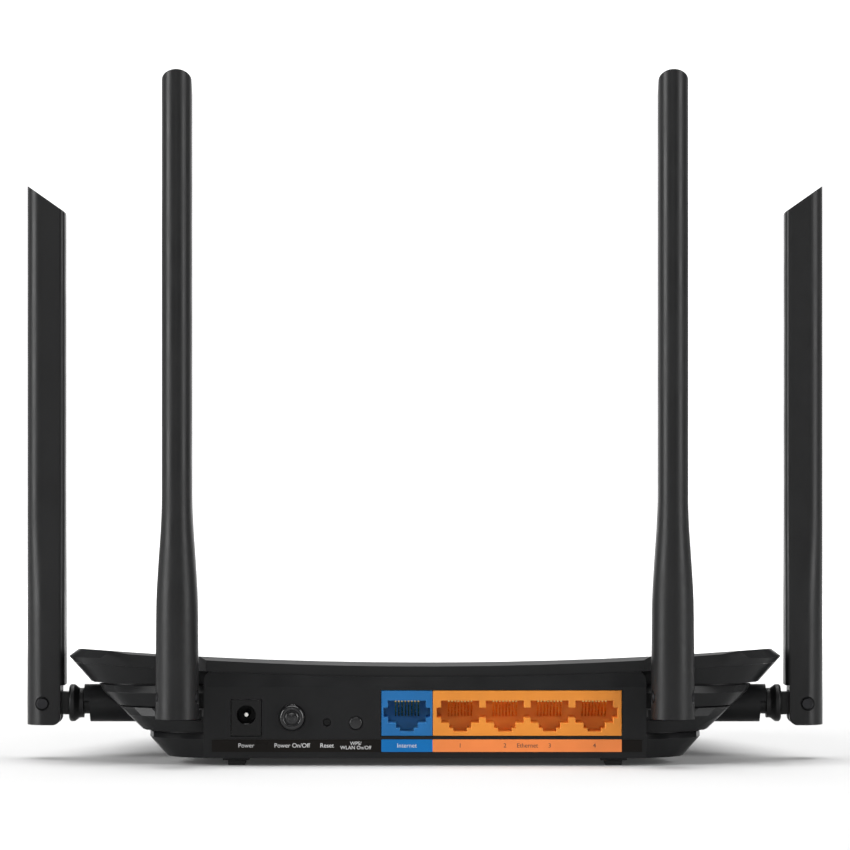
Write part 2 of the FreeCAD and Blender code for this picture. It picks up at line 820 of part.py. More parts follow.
def board_screws():
    screws = []
    top = "board_up + board_thick"
    for n, (x, y) in enumerate(BOARD_SCREWS):
        head = cylinder("BoardHead%d" % n, "z", x, y, top, "board_head", "board_head_thick")
        start = "foot_height + 3 * wall / 4"
        shank = cylinder("BoardShank%d" % n, "z", x, y, start, "board_shank", "%s - (%s)" % (top, start))
        drive = cross_recess("BoardDrive%d" % n, x, y, top + " + board_head_thick - drive_deep * 0.9")
        screws.append(cut("BoardScrew%d" % n, fuse("BoardBolt%d" % n, [head, shank]), drive))
    return sub_part(group("BoardScrews", screws), "board_screws")


def rubber_feet():
    feet = []
    places = [
        (signed(sign, across), along)
        for sign in (1, -1)
        for across, along in (("foot_wide_x", "foot_back"), ("foot_narrow_x", "foot_front"))
    ]
    for n, (x, along) in enumerate(places):
        start = "%s - foot_long / 2" % along
        flange = box(
            "FootFlange%d" % n, x, start, "foot_height - foot_flange", "foot_wide", "foot_long",
            "foot_flange")
        tread = box(
            "FootTread%d" % n, x, start + " + foot_step", "0", "foot_wide - 2 * foot_step",
            "foot_long - 2 * foot_step", "foot_height - foot_flange")
        feet.append(fuse("Foot%d" % n, [flange, tread]))
    return sub_part(group("RubberFeet", feet), "rubber_feet")


# ------------------------------------------------------------------ electronics

BOARD_TOP = "(board_up + board_thick)"
JACK_FACE = "(case_depth / 2 - jack_recess)"


def circuit_board():
    """Board that narrows with the case and reaches back to the socket panel."""
    plate = new_body("BoardPlate")
    right = [
        ("board_half", "case_depth / 2 - wall - board_gap"),
        ("board_half", "board_narrowing"),
        ("board_half - board_taper", "board_front"),
    ]
    left = [("-(%s)" % across, along) for across, along in reversed(right)]
    sketch = outline(plate, "BoardPlan", "XY_Plane", right + left, "board_up")
    extrude(plate, "BoardPad", sketch, "board_thick")
    holes = [
        cylinder("BoardDrill%d" % n, "z", x, y, "board_up - 1", "board_shank + screw_play", "board_thick + 2")
        for n, (x, y) in enumerate(BOARD_SCREWS)
    ]
    return sub_part(cut("CircuitBoard", plate, holes), "circuit_board")


def port_cuts(name, x):
    """Opening of one network port: main hole, two latch steps and the side ears."""
    start = JACK_FACE + " - port_deep"
    deep = "port_deep + 1"
    floor = BOARD_TOP + " + port_floor"
    return [
        box(name + "Main", x, start, floor, "port_width", deep, "port_top - port_floor"),
        box(name + "Latch", x, start, BOARD_TOP + " + latch_wide_up", "latch_wide", deep, "port_floor"),
        box(name + "Catch", x, start, BOARD_TOP + " + latch_narrow_up", "latch_narrow", deep, "port_floor"),
        box(
            name + "Ears", x, start, BOARD_TOP + " + ear_low", "port_width + 2 * ear_wide", deep,
            "ear_high - ear_low"),
    ]


def lan_port_x(number):
    return "lan_x + port_pitch * %s" % (1.5 - number)


def jack_block(name, label, x, width, ports):
    start = JACK_FACE + " - jack_depth"
    block = box(name + "Block", x, start, BOARD_TOP, width, "jack_depth", "jack_height")
    cuts = []
    for n, port_x in enumerate(ports):
        cuts += port_cuts("%sPort%d" % (name, n), port_x)
    return sub_part(cut(name, block, cuts), label)


def contact_row(name, label, ports):
    """Eight bent spring wires at the top of each port, held in its rear wall."""
    wires = []
    for n, x in enumerate(ports):
        body = new_body("%sRow%d" % (name, n))
        back = JACK_FACE + " - port_deep + 0.02"
        front = JACK_FACE + " - 1.5"
        bend = JACK_FACE + " - 9.5"
        top = BOARD_TOP + " + port_top - 0.1"
        low = BOARD_TOP + " + port_floor + 1.6"
        points = [
            (back, low),
            (bend, low),
            (front, top + " - contact_thick"),
            (front, top),
            ("(%s) - 0.3" % front, top),
            (bend + " - 0.1", low + " + contact_thick"),
            (back, low + " + contact_thick"),
        ]
        first = "(%s) - 3.5 * contact_pitch - contact_width / 2" % x
        sketch = outline(body, "%sWire%d" % (name, n), "YZ_Plane", points, first)
        pad = extrude(body, "%sPad%d" % (name, n), sketch, "contact_width")
        row = body.newObject("PartDesign::LinearPattern", "%sPattern%d" % (name, n))
        row.Originals = [pad]
        row.Direction = (origin_plane(body, "X_Axis"), [""])
        bind(row, "Length", "7 * contact_pitch")
        row.Occurrences = 8
        body.Tip = row
        wires.append(body)
    return sub_part(wires[0] if len(wires) == 1 else group(name, wires), label)


def power_socket():
    """Block with a bore for the plug, its centre pin and the sprung side contact."""
    start = JACK_FACE + " - dc_depth"
    up = BOARD_TOP + " + dc_hole_up"
    under = up + " - dc_hole / 2 - dc_spring_drop"
    block = box("DcBlock", "dc_x", start, BOARD_TOP, "dc_width", "dc_depth", "dc_height")
    hole = cylinder("DcBore", "y", "dc_x", JACK_FACE + " - dc_hole_deep", up, "dc_hole", "dc_hole_deep + 1")
    pin_hole = cylinder("DcPinHole", "y", "dc_x", start + " - 1", up, "dc_pin + 2 * pin_hold", "dc_depth")
    spring_slot = box(
        "DcSpringSlot", "dc_x", start + " + dc_spring_start", under + " - dc_play",
        "dc_spring_wide + 2 * dc_play", "dc_hole_deep - 2", "1.5 * dc_spring_drop + dc_play")
    sub_part(cut("DcSocket", block, [hole, pin_hole, spring_slot]), "dc_jack")

    tip = "%s + dc_depth - dc_hole_deep + dc_pin_reach - dc_pin_nose" % start
    tail = start + " - dc_pin_tail"
    rod = cylinder("DcRod", "y", "dc_x", tail, up, "dc_pin", "(%s) - (%s)" % (tip, tail))
    nose = cone("DcNose", "y", "dc_x", tip, up, "dc_pin", "0.6 * dc_pin", "dc_pin_nose")
    sub_part(fuse("DcPinForm", [rod, nose]), "dc_centre_pin")

    spring_long = "dc_hole_deep - 2 - 2 * dc_play"
    strip = box(
        "DcStrip", "dc_x", start + " + dc_spring_start + dc_play", under, "dc_spring_wide",
        spring_long, "dc_spring_thick")
    bump = box(
        "DcBump", "dc_x", start + " + dc_spring_start + 0.7 * (%s)" % spring_long, under,
        "dc_spring_wide", "3 * dc_spring_thick", "1.1 * dc_spring_drop")
    sub_part(fuse("DcSpring", [strip, bump]), "dc_spring_contact")


def switch_body(name, label, x, up, width, depth, height, front):
    """Switch on the board; the button's stem slides in its bore."""
    block = box(name + "Case", x, "(%s) - (%s)" % (front, depth), BOARD_TOP, width, depth, height)
    bore = cylinder(name + "Bore", "y", x, "(%s) - stem_reach - 2" % front, up, "stem_bore", "stem_reach + 3")
    return sub_part(cut(name, block, [bore]), label)


POWER_FRONT = "(case_depth / 2 - power_switch_back)"
SMALL_FRONT = "(case_depth / 2 - small_switch_back)"


def switches():
    switch_body(
        "PowerSwitch", "power_switch", "power_x", "power_up", "power_switch_wide", "power_switch_deep",
        "power_switch_tall", POWER_FRONT)
    for name, kind in (("WpsSwitch", "wps"), ("ResetSwitch", "reset")):
        switch_body(
            name, kind + "_switch", kind + "_x", kind + "_up", "small_switch_wide", "small_switch_deep",
            "%s_up - %s + stem_bore / 2 + switch_over + 0.6" % (kind, BOARD_TOP), SMALL_FRONT)


def button(name, label, x, up, diameter, face, cap_long, front, dished):
    """Round button: a cap in the panel and a stem that reaches into its switch."""
    cap = cylinder(name + "Cap", "y", x, "(%s) - (%s)" % (face, cap_long), up, diameter, cap_long)
    stem_start = "(%s) - stem_reach" % front
    stem_long = "(%s) - (%s) / 2 - (%s)" % (face, cap_long, stem_start)
    stem = cylinder(name + "Stem", "y", x, stem_start, up, "stem_size", stem_long)
    form = fuse(name + "Form", [cap, stem])
    if dished:
        floor = "(%s) - groove_deep" % face
        outer = cylinder(name + "RingOuter", "y", x, floor, up, "0.78 * (%s)" % diameter, "2 * groove_deep")
        inner = cylinder(name + "RingInner", "y", x, floor, up, "0.66 * (%s)" % diameter, "2 * groove_deep")
        form = cut(name + "Grooved", form, [cut(name + "Ring", outer, [inner])])
    return sub_part(form, label)


def buttons():
    panel = "case_depth / 2"
    button(
        "Power", "power_button", "power_x", "power_up", "power_size", panel + " + power_proud",
        "power_cap", POWER_FRONT, True)
    button(
        "Wps", "wps_button", "wps_x", "wps_up", "wps_size", panel + " + wps_proud", "wps_cap",
        SMALL_FRONT, False)
    button(
        "Reset", "reset_plunger", "reset_x", "reset_up", "reset_size", panel + " - reset_sunk",
        "reset_cap", SMALL_FRONT, False)


def chip(name, x, y, length, width, height):
    return box(name, x, "%s - (%s) / 2" % (y, width), BOARD_TOP, length, width, height)


def board_chips():
    """Flat packages, each a plate with a ring of short leads."""
    for name, label, x, y, side, high, leads in (
        ("Processor", "processor", "6", "16", 16, 1.6, 12),
        ("SwitchChip", "ethernet_switch_chip", "-30", "24", 14, 1.5, 12),
        ("Memory", "memory_chip", "6", "-10", 11, 1.1, 9),
        ("Flash", "flash_chip", "28", "12", 6, 1.7, 4),
    ):
        plate = box(
            name + "Plate", x, "%s - %s / 2" % (y, side), BOARD_TOP + " + chip_stand", str(side), str(side),
            "%s - chip_stand" % high)
        pins = []
        span = "%s + 2 * pin_out" % side
        for n in range(leads):
            offset = (n - (leads - 1) / 2) * (side - 2) / (leads - 1)
            pins.append(box(
                "%sEast%d" % (name, n), x, "%s + %s - pin_wide / 2" % (y, offset), BOARD_TOP, span,
                "pin_wide", "pin_thick"))
            pins.append(box(
                "%sNorth%d" % (name, n), "%s + %s" % (x, offset), "%s - (%s) / 2" % (y, span), BOARD_TOP,
                "pin_wide", span, "pin_thick"))
        sub_part(fuse(name, [plate] + pins), label)


FINS = 8


def heat_sink():
    base = BOARD_TOP + " + sink_up"
    plate = box("SinkBase", "sink_x", "sink_front", base, "sink_side", "sink_side", "sink_plate")
    fins = []
    for n in range(FINS):
        x = "sink_x + fin_pitch * %s" % (n - (FINS - 1) / 2)
        fins.append(box(
            "SinkFin%d" % n, x, "sink_front", base, "fin_thick", "sink_side", "sink_plate + fin_tall"))
    sub_part(fuse("HeatSink", [plate] + fins), "heat_sink")


def shield_cans():
    """Two perforated tin lids, each over one radio chip."""
    cans = []
    chips = []
    for name, sign in (("Left", -1), ("Right", 1)):
        x = signed(sign, "can_x")
        outer = chip("Can" + name, x, "can_y", "can_long", "can_wide", "can_tall")
        inner = chip(
            "CanSpace" + name, x, "can_y", "can_long - 2 * can_sheet", "can_wide - 2 * can_sheet",
            "can_tall - can_sheet")
        vents = [
            box(
                "CanVent%s%d%d" % (name, n, k), "%s + can_vent_pitch * %d" % (x, n - 2),
                "can_y - can_vent / 2 + can_vent_pitch * %d" % (k - 1), BOARD_TOP + " + can_tall / 2",
                "can_vent", "can_vent", "can_tall")
            for n in range(5) for k in range(3)
        ]
        cans.append(cut("CanShell" + name, outer, [inner] + vents))
        chips.append(chip("RadioChip" + name, x, "can_y", "8", "8", "0.9"))
    sub_part(group("ShieldCans", cans), "shield_cans")
    sub_part(group("RadioChips", chips), "radio_chips")


def small_parts():
    """Transformers, capacitors, inductors, the crystal and the status lamps."""
    magnets = [chip("Transformer%d" % n, str(-46 + 16.5 * n), "46", "14", "8", "6") for n in range(4)]
    sub_part(group("Transformers", magnets), "lan_transformers")
    cans = []
    for n, (x, y, wide, high) in enumerate((
        ("50", "31", 6.3, 8), ("42", "34", 5, 7), ("34", "38", 5, 7), ("30", "-26", 5, 5.4),
    )):
        can = cylinder("Capacitor%d" % n, "z", x, y, BOARD_TOP, str(wide), str(high))
        rim = cylinder("CapacitorRim%d" % n, "z", x, y, BOARD_TOP + " + 1", str(wide + 1), "0.5")
        neck = cylinder("CapacitorNeck%d" % n, "z", x, y, BOARD_TOP + " + 0.9", str(wide - 0.5), "0.7")
        cans.append(cut("CapacitorCan%d" % n, can, [cut("CapacitorWaist%d" % n, rim, [neck])]))
    sub_part(group("Capacitors", cans), "capacitors")
    coils = []
    for n, (x, y) in enumerate((("40", "19"), ("40", "8.5"))):
        coil = chip("Coil%d" % n, x, y, "8", "8", "4.2")
        mark = cylinder("CoilFace%d" % n, "z", x, y, BOARD_TOP + " + 3.9", "6", "1")
        coils.append(cut("Inductor%d" % n, coil, [mark]))
    sub_part(group("Inductors", coils), "power_inductors")
    sub_part(chip("Crystal", "-12", "30", "4.6", "11", "3.4"), "crystal")
    lamps = [
        box("Led%d" % n, lamp_x(n), "lamp_back - 0.8", BOARD_TOP, "1.2", "1.6", "0.8") for n in range(LAMPS)
    ]
    sub_part(group("Leds", lamps), "status_leds")


def light_guide():
    start = BOARD_TOP + " + 1.1"
    rods = [
        cylinder("GuideRod%d" % n, "z", lamp_x(n), "lamp_back", start, "lamp_size", "inner_top - board_up")
        for n in range(LAMPS)
    ]
    bar = box(
        "GuideBar", "0", "lamp_back - guide_bar_wide / 2", start + " + guide_bar_up",
        "lamp_pitch * %d + 2 * lamp_size" % (LAMPS - 1), "guide_bar_wide", "guide_bar_thick")
    form = fuse("GuideForm", rods + [bar])
    sub_part(cut("LightGuide", form, [dish("GuideTop", "0.1")]), "light_guide")


def port_label():
    """Thin printed strip stuck on the panel under the sockets."""
    width = "label_right - label_left"
    middle = "(label_right + label_left) / 2"
    strip = box("LabelStrip", middle, "case_depth / 2", "label_up", width, "label_thick", "label_height")
    sub_part(strip, "port_label")


# --------------------------------------------------------------------- antennas

def stand(body, sign, axis):
    """Put an antenna piece on its pivot, its +X pointing away from the case."""
    if axis == "x":
        body.Placement = FreeCAD.Placement(V(), FreeCAD.Rotation(V(0, 0, 1), 0 if sign > 0 else 180))
        return place(body, signed(sign, SIDE_PIVOT), "side_antenna_back", "side_antenna_up")
    body.Placement = FreeCAD.Placement(V(), FreeCAD.Rotation(V(0, 0, 1), 90))
    return place(body, signed(sign, "rear_antenna_x"), REAR_PIVOT, "rear_antenna_up")


def revolve(body, name, points, plane_role, axis_name):
    sketch = outline(body, name + "Profile", plane_role, points)
    turned = body.newObject("PartDesign::Revolution", name + "Turn")
    turned.Profile = sketch
    turned.ReferenceAxis = (sketch, [axis_name])
    turned.Angle = 360
    return turned


def knuckle(name, sign, axis):
    """Swivel knuckle: tongue, flange, cone and barrel outside, grooved shaft inside."""
    body = new_body(name + "Knuckle")
    near = "-flange_near"
    flange_end = near + " - flange_thick"
    wall_end = "-barrel_end - face_gap - socket_wall - clip_gap"
    groove_end = wall_end + " - clip_thick - 0.1"
    shaft_end = groove_end + " - shaft_spare"
    points = [
        (near, "0"),
        (near, "flange_size / 2 - 0.5"),
        (near + " - 0.5", "flange_size / 2"),
        (flange_end, "flange_size / 2"),
        (flange_end + " - cone_long", "barrel_size / 2"),
        ("-barrel_end", "barrel_size / 2"),
        ("-barrel_end", "shaft_size / 2"),
        (wall_end, "shaft_size / 2"),
        (wall_end, "shaft_groove / 2"),
        (groove_end, "shaft_groove / 2"),
        (groove_end, "shaft_size / 2"),
        (shaft_end, "shaft_size / 2"),
        (shaft_end, "0"),
    ]
    revolve(body, name + "Shaft", points, "XY_Plane", "H_Axis")
    round_end = circle(body, name + "RoundEnd", "XZ_Plane", "0", "0", "2 * tongue_half")
    extrude(body, name + "RoundPad", round_end, "tongue_thick", middle=True)
    root = near + " - flange_thick / 4"
    tongue = outline(body, name + "TongueSide", "XZ_Plane", [
        (root, "-tongue_half"), ("0", "-tongue_half"), ("0", "tongue_half"), (root, "tongue_half")])
    extrude(body, name + "TonguePad", tongue, "tongue_thick", middle=True)
    for hole, role, diameter, length, middle, lift in (
        ("PinBore", "XZ_Plane", "pin_size + 2 * pin_hold", "2 * tongue_thick", True, "0"),
        ("LeadBore", "YZ_Plane", "lead_bore", "40", False, "-pin_size / 2 - 0.8"),
    ):
        ring = circle(body, name + hole + "Circle", role, "0", "0", diameter, lift)
        pocket = body.newObject("PartDesign::Pocket", name + hole)
        pocket.Profile = ring
        bind(pocket, "Length", length)
        pocket.Midplane = middle
    return sub_part(stand(body, sign, axis), name + "_knuckle")


def hinge_pin(name, sign, axis):
    body = new_body(name + "Pin")
    tip = "base_thick / 2 - pin_recess_deep + pin_head_thick + 0.1"
    neck = "base_thick / 2 - pin_recess_deep + 0.1"
    half = [
        ("0", tip),
        ("pin_head / 2 - 0.3", tip),
        ("pin_head / 2", tip + " - 0.3"),
        ("pin_head / 2", neck),
        ("pin_size / 2", neck),
    ]
    mirrored = [(radius, "-(%s)" % along) for radius, along in reversed(half)]
    revolve(body, name + "PinTurned", half + mirrored, "XY_Plane", "V_Axis")
    return sub_part(stand(body, sign, axis), name + "_hinge_pin")


def radiator(name, sign, axis, blade_long):
    """Feed rod and sleeve of the antenna, standing in the blade's bore."""
    body = new_body(name + "Radiator")
    low = "tongue_half + 8"
    end = "%s - 40" % blade_long
    points = [
        ("0", low),
        ("radiator_rod / 2", low),
        ("radiator_rod / 2", low + " + 8"),
        ("radiator_size / 2", low + " + 8"),
        ("radiator_size / 2", "%s / 2" % blade_long),
        ("radiator_rod / 2", "%s / 2" % blade_long),
        ("radiator_rod / 2", end),
        ("0", end),
    ]
    revolve(body, name + "RadiatorTurned", points, "XZ_Plane", "V_Axis")
    return sub_part(stand(body, sign, axis), name + "_radiator")


def blade_section(thick, up):
    """Closed wire of the blade's section: round outside, small corners inside."""
    half = thick / 2
    outer = size("pivot_outer")
    inner = -size("pivot_inner")
    corner = size("blade_corner")
    shoulder = outer - size("blade_round")
    bend = corner * (1 - math.sqrt(0.5))
    left = Part.Arc(
        V(inner + corner, half, up), V(inner + bend, half - bend, up), V(inner, half - corner, up))
    right = Part.Arc(
        V(inner, corner - half, up), V(inner + bend, bend - half, up), V(inner + corner, -half, up))
    nose = Part.Arc(V(shoulder, -half, up), V(outer, 0, up), V(shoulder, half, up))
    edges = [
        nose.toShape(),
        Part.makeLine(V(shoulder, half, up), V(inner + corner, half, up)),
        left.toShape(),
        Part.makeLine(V(inner, half - corner, up), V(inner, corner - half, up)),
        right.toShape(),
        Part.makeLine(V(inner + corner, -half, up), V(shoulder, -half, up)),
    ]
    return Part.Wire(edges)


def blade(name, sign, axis, blade_long):
    """Blade: flared at the hinge, slanted at the top, forked round the tongue."""
    waist = size("waist_up")
    stalk = size("stalk_up")
    tall = size(blade_long)
    below = -size("blade_below")
    steps = 8
    flare = []
    for n in range(steps + 1):
        part = n / steps
        ease = part * part * (3 - 2 * part)
        thick = size("waist_thick") + (size("blade_thick") - size("waist_thick")) * ease
        flare.append(blade_section(thick, waist + (stalk - waist) * part))
    foot = Part.makeLoft([blade_section(size("base_thick"), below), flare[0]], True, True)
    middle = Part.makeLoft(flare, True, False)
    stem = Part.makeLoft([flare[-1], blade_section(size("blade_thick"), tall)], True, True)
    form = foot.fuse([middle, stem])

    outer = size("pivot_outer")
    inner = -size("pivot_inner")
    slant = size("blade_slant")
    tip = size("blade_tip")
    wide = size("base_thick") + 2
    near = -wide / 2
    wedge = Part.Face(Part.makePolygon([
        V(outer - tip, near, tall),
        V(outer + 1, near, tall - tip),
        V(outer + 1, near, tall + 1),
        V(inner - 1, near, tall + 1),
        V(inner - 1, near, tall - slant - 1),
        V(outer - tip, near, tall),
    ]))
    form = form.cut(wedge.extrude(V(0, wide, 0)))

    relief = Part.makeBox(
        size("pivot_inner") - size("pivot_relief") + 1, wide, size("relief_up") - below + 1,
        V(inner - 1, -wide / 2, below - 1))
    heel = size("heel_round")
    face = -size("pivot_relief")
    block = Part.makeBox(heel + 1, wide, heel + 1, V(face - 1, -wide / 2, below - 1))
    rounding = Part.makeCylinder(heel, wide, V(face + heel, -wide / 2, below + heel), V(0, 1, 0))
    form = form.cut([relief, block.cut(rounding)])

    gap = size("tongue_side_gap")
    slot_half = size("tongue_thick") / 2 + gap
    reach = size("tongue_half") + size("tongue_round_gap")
    slot = Part.makeBox(
        reach - inner + 1, 2 * slot_half, reach - below + 1, V(inner - 1, -slot_half, below - 1))
    pin_hole = Part.makeCylinder(size("pin_size") / 2 + size("pin_run"), wide, V(0, -wide / 2, 0), V(0, 1, 0))
    recess_at = size("base_thick") / 2 - size("pin_recess_deep")
    recesses = [
        Part.makeCylinder(size("pin_recess") / 2, wide, V(0, way * recess_at, 0), V(0, way, 0))
        for way in (1, -1)
    ]
    bore = Part.makeCylinder(size("radiator_bore") / 2, tall - 30, V(0, 0, 0))
    form = form.cut([slot, pin_hole, bore] + recesses)
    obj = doc.addObject("Part::Feature", name + "Blade")
    obj.Shape = form.removeSplitter()
    return sub_part(stand(obj, sign, axis), name + "_blade")


def antennas():
    for name, sign, axis in ANTENNAS:
        knuckle(name, sign, axis)
        hinge_pin(name, sign, axis)
        blade_long = "side_blade" if axis == "x" else "rear_blade"
        blade(name, sign, axis, blade_long)
        radiator(name, sign, axis, blade_long)
        wall_end = "barrel_end + face_gap + socket_wall + clip_gap"
        ring = rod_to_case(name + "ClipRing", sign, axis, wall_end, wall_end + " + clip_thick", "clip_size")
        hole = rod_to_case(
            name + "ClipHole", sign, axis, wall_end + " - 1", wall_end + " + clip_thick + 1",
            "shaft_groove + 2 * pin_hold")
        sub_part(cut(name + "Clip", ring, [hole]), name + "_retainer")
        sub_part(rod_to_case(
            name + "Lead", sign, axis, "pin_size / 2 + 1", wall_end + " + clip_thick + 0.1 + shaft_spare + 2",
            "lead_size"), name + "_lead")


def cable(points, diameter):
    """Tube along straight runs joined by tangent arcs as large as the runs allow."""
    edges = []
    start = points[0]
    for before, corner, after in zip(points, points[1:], points[2:]):
        run_in = (corner - before).Length
        run_out = (after - corner).Length
        turn = (corner - before).getAngle(after - corner)
        back = 0.45 * min(run_in, run_out)
        first = corner + (before - corner).normalize() * back
        last = corner + (after - corner).normalize() * back
        radius = back / math.tan(turn / 2)
        middle = corner + ((first + last) / 2 - corner).normalize() * (
            math.hypot(radius, back) - radius)
        edges.append(Part.makeLine(start, first))
        edges.append(Part.Arc(first, middle, last).toShape())
        start = last
    edges.append(Part.makeLine(start, points[-1]))
    path = Part.Wire(edges)
    profile = Part.Wire([Part.makeCircle(diameter / 2, points[0], points[1] - points[0])])
    return path.makePipeShell([profile], True, False)


SOCKET_Y = (5.0, 12.0)
SOCKET_UP = 1.2
SOCKET_INSET = 11.0


def coax_sockets():
    """Small snap sockets where the antenna leads meet the board."""
    sockets = []
    for n, (sign, along) in enumerate([(sign, along) for sign in (1, -1) for along in SOCKET_Y]):
        x = signed(sign, "board_half - %s" % SOCKET_INSET)
        base = chip("CoaxBase%d" % n, x, str(along), "4", "4", "0.9")
        cap = cylinder("CoaxCap%d" % n, "z", x, str(along), BOARD_TOP, "3.2", "2.2")
        sockets.append(fuse("CoaxSocket%d" % n, [base, cap]))
    sub_part(group("CoaxSockets", sockets), "coax_sockets")


def coax_leads():
    """Four coaxial leads from the knuckles' shafts down to the radio part of the board."""
    lead = size("lead_size")
    end = (size("barrel_end") + size("face_gap") + size("socket_wall") + size("clip_gap")
           + size("clip_thick") + 0.1 + size("shaft_spare") + 2.3)
    side_x = size("case_width") / 2 - size("boss_face") + size("face_gap") + size("barrel_end") - end
    rear_y = size("case_depth") / 2 - size("notch_deep") + size("face_gap") + size("barrel_end") - end
    socket = size("board_up") + size("board_thick") + SOCKET_UP
    end_x = size("board_half") - SOCKET_INSET + 2.4
    tubes = []
    for sign in (1, -1):
        side = [
            V(side_x, size("side_antenna_back"), size("side_antenna_up")),
            V(side_x - 18, size("side_antenna_back") - 0.1, size("side_antenna_up") + 0.2),
            V(side_x - 22.5, size("side_antenna_back") - 11, size("side_antenna_up") - 0.3),
            V(side_x - 29, size("side_antenna_back") - 22, size("side_antenna_up") - 2.7),
            V(end_x + 7, SOCKET_Y[0] + 2, socket + 1.2),
            V(end_x, SOCKET_Y[0], socket),
        ]
        rear = [
            V(size("rear_antenna_x"), rear_y, size("rear_antenna_up")),
            V(size("rear_antenna_x") - 1.5, rear_y - 9, size("rear_antenna_up") - 0.4),
            V(size("rear_antenna_x") - 9, rear_y - 19, size("rear_antenna_up") - 2),
            V(size("rear_antenna_x") - 14, rear_y - 31, size("rear_antenna_up") - 5),
            V(end_x + 5, SOCKET_Y[1] + 3, socket + 1.6),
            V(end_x, SOCKET_Y[1], socket),
        ]
        for points in (side, rear):
            tubes.append(cable([V(sign * p.x, p.y, p.z) for p in points], lead))
    obj = doc.addObject("Part::Feature", "CoaxLeads")
    obj.Shape = Part.makeCompound(tubes)
    sub_part(obj, "coax_leads")


# ------------------------------------------------------------------------ build

CASE_FORM = terraced_case()
lower_case()
top_cover()
inlay_panel()
case_screws()
board_screws()
rubber_feet()
circuit_board()
jack_block("WanJack", "wan_jack", "wan_x", "wan_width", ["wan_x"])
jack_block("LanJacks", "lan_jacks", "lan_x", "lan_width", [lan_port_x(n) for n in range(4)])
contact_row("WanContacts", "wan_contacts", ["wan_x"])
contact_row("LanContacts", "lan_contacts", [lan_port_x(n) for n in range(4)])
power_socket()
switches()
buttons()
board_chips()
heat_sink()
shield_cans()
small_parts()
light_guide()
port_label()
antennas()
coax_sockets()
coax_leads()
doc.recompute()

faults = [obj.Name for obj in doc.Objects if {"Invalid", "Error"} & set(obj.State)]
if faults:
    raise RuntimeError("features failed: " + ", ".join(faults))
for obj in PARTS:
    if obj.Shape.isNull() or not obj.Shape.isValid() or obj.Shape.Volume <= 0:
        raise RuntimeError("bad shape: " + obj.Label)

os.makedirs("parts", exist_ok=True)
for obj in PARTS:
    obj.Shape.exportStep("parts/%s.step" % obj.Label)
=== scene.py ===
import json
import math

import bmesh
import bpy
from mathutils import Matrix, Vector


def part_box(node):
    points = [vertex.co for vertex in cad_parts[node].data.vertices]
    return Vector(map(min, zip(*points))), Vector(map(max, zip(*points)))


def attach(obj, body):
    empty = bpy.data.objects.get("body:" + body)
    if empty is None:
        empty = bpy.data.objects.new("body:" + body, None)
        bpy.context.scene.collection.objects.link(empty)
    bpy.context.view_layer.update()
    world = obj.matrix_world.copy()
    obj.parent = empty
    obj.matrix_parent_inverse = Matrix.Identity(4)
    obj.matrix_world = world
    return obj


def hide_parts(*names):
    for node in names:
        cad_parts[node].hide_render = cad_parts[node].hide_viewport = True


# Looks of the wireless router. Metres; +Z up, +Y to the rear with the sockets.

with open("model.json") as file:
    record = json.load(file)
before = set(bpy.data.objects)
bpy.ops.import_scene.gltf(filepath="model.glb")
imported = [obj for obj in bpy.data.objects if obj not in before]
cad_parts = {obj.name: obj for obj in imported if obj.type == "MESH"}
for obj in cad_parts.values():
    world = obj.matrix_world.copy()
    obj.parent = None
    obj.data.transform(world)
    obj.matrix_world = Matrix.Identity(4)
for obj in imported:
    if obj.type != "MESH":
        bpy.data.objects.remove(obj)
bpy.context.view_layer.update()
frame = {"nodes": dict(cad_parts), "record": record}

MM = 0.001
ANTENNAS = ("side_right", "side_left", "rear_right", "rear_left")
BODY_OF = {node: body for body, nodes in frame["record"]["behaviour"]["bodies"].items() for node in nodes}


# ------------------------------------------------------------------- materials

def new_material(name):
    material = bpy.data.materials.new(name)
    material.use_nodes = True
    return material, material.node_tree, material.node_tree.nodes["Principled BSDF"]


def add_node(tree, kind, **values):
    """New node with its sockets set by name (spaces written as underscores)."""
    node = tree.nodes.new(kind)
    for key, value in values.items():
        node.inputs[key.replace("_", " ")].default_value = value
    return node


def noise(tree, scale, detail=3.0, rough=0.5):
    place = tree.nodes.new("ShaderNodeTexCoord")
    node = add_node(tree, "ShaderNodeTexNoise", Scale=scale, Detail=detail, Roughness=rough)
    tree.links.new(place.outputs["Object"], node.inputs["Vector"])
    return node.outputs["Fac"]


def spread(tree, value, low, high):
    """Map a 0-1 pattern, which mostly lies near its middle, to low-high."""
    node = add_node(tree, "ShaderNodeMapRange", From_Min=0.3, From_Max=0.7, To_Min=low, To_Max=high)
    tree.links.new(value, node.inputs["Value"])
    return node.outputs["Result"]


def tint(tree, value, dark, light):
    ramp = tree.nodes.new("ShaderNodeValToRGB")
    ramp.color_ramp.elements[0].position = 0.3
    ramp.color_ramp.elements[0].color = (*dark, 1)
    ramp.color_ramp.elements[1].position = 0.7
    ramp.color_ramp.elements[1].color = (*light, 1)
    tree.links.new(value, ramp.inputs["Fac"])
    return ramp.outputs["Color"]


def grain(tree, shader, layers):
    """Stack bumps: each layer is (features per metre, depth in metres)."""
    normal = None
    for scale, depth in layers:
        bump = add_node(tree, "ShaderNodeBump", Strength=1.0, Distance=depth)
        tree.links.new(noise(tree, scale, 2.0), bump.inputs["Height"])
        if normal:
            tree.links.new(normal, bump.inputs["Normal"])
        normal = bump.outputs["Normal"]
    tree.links.new(normal, shader.inputs["Normal"])


def shade(colour, factor):
    return tuple(min(1.0, channel * factor) for channel in colour)


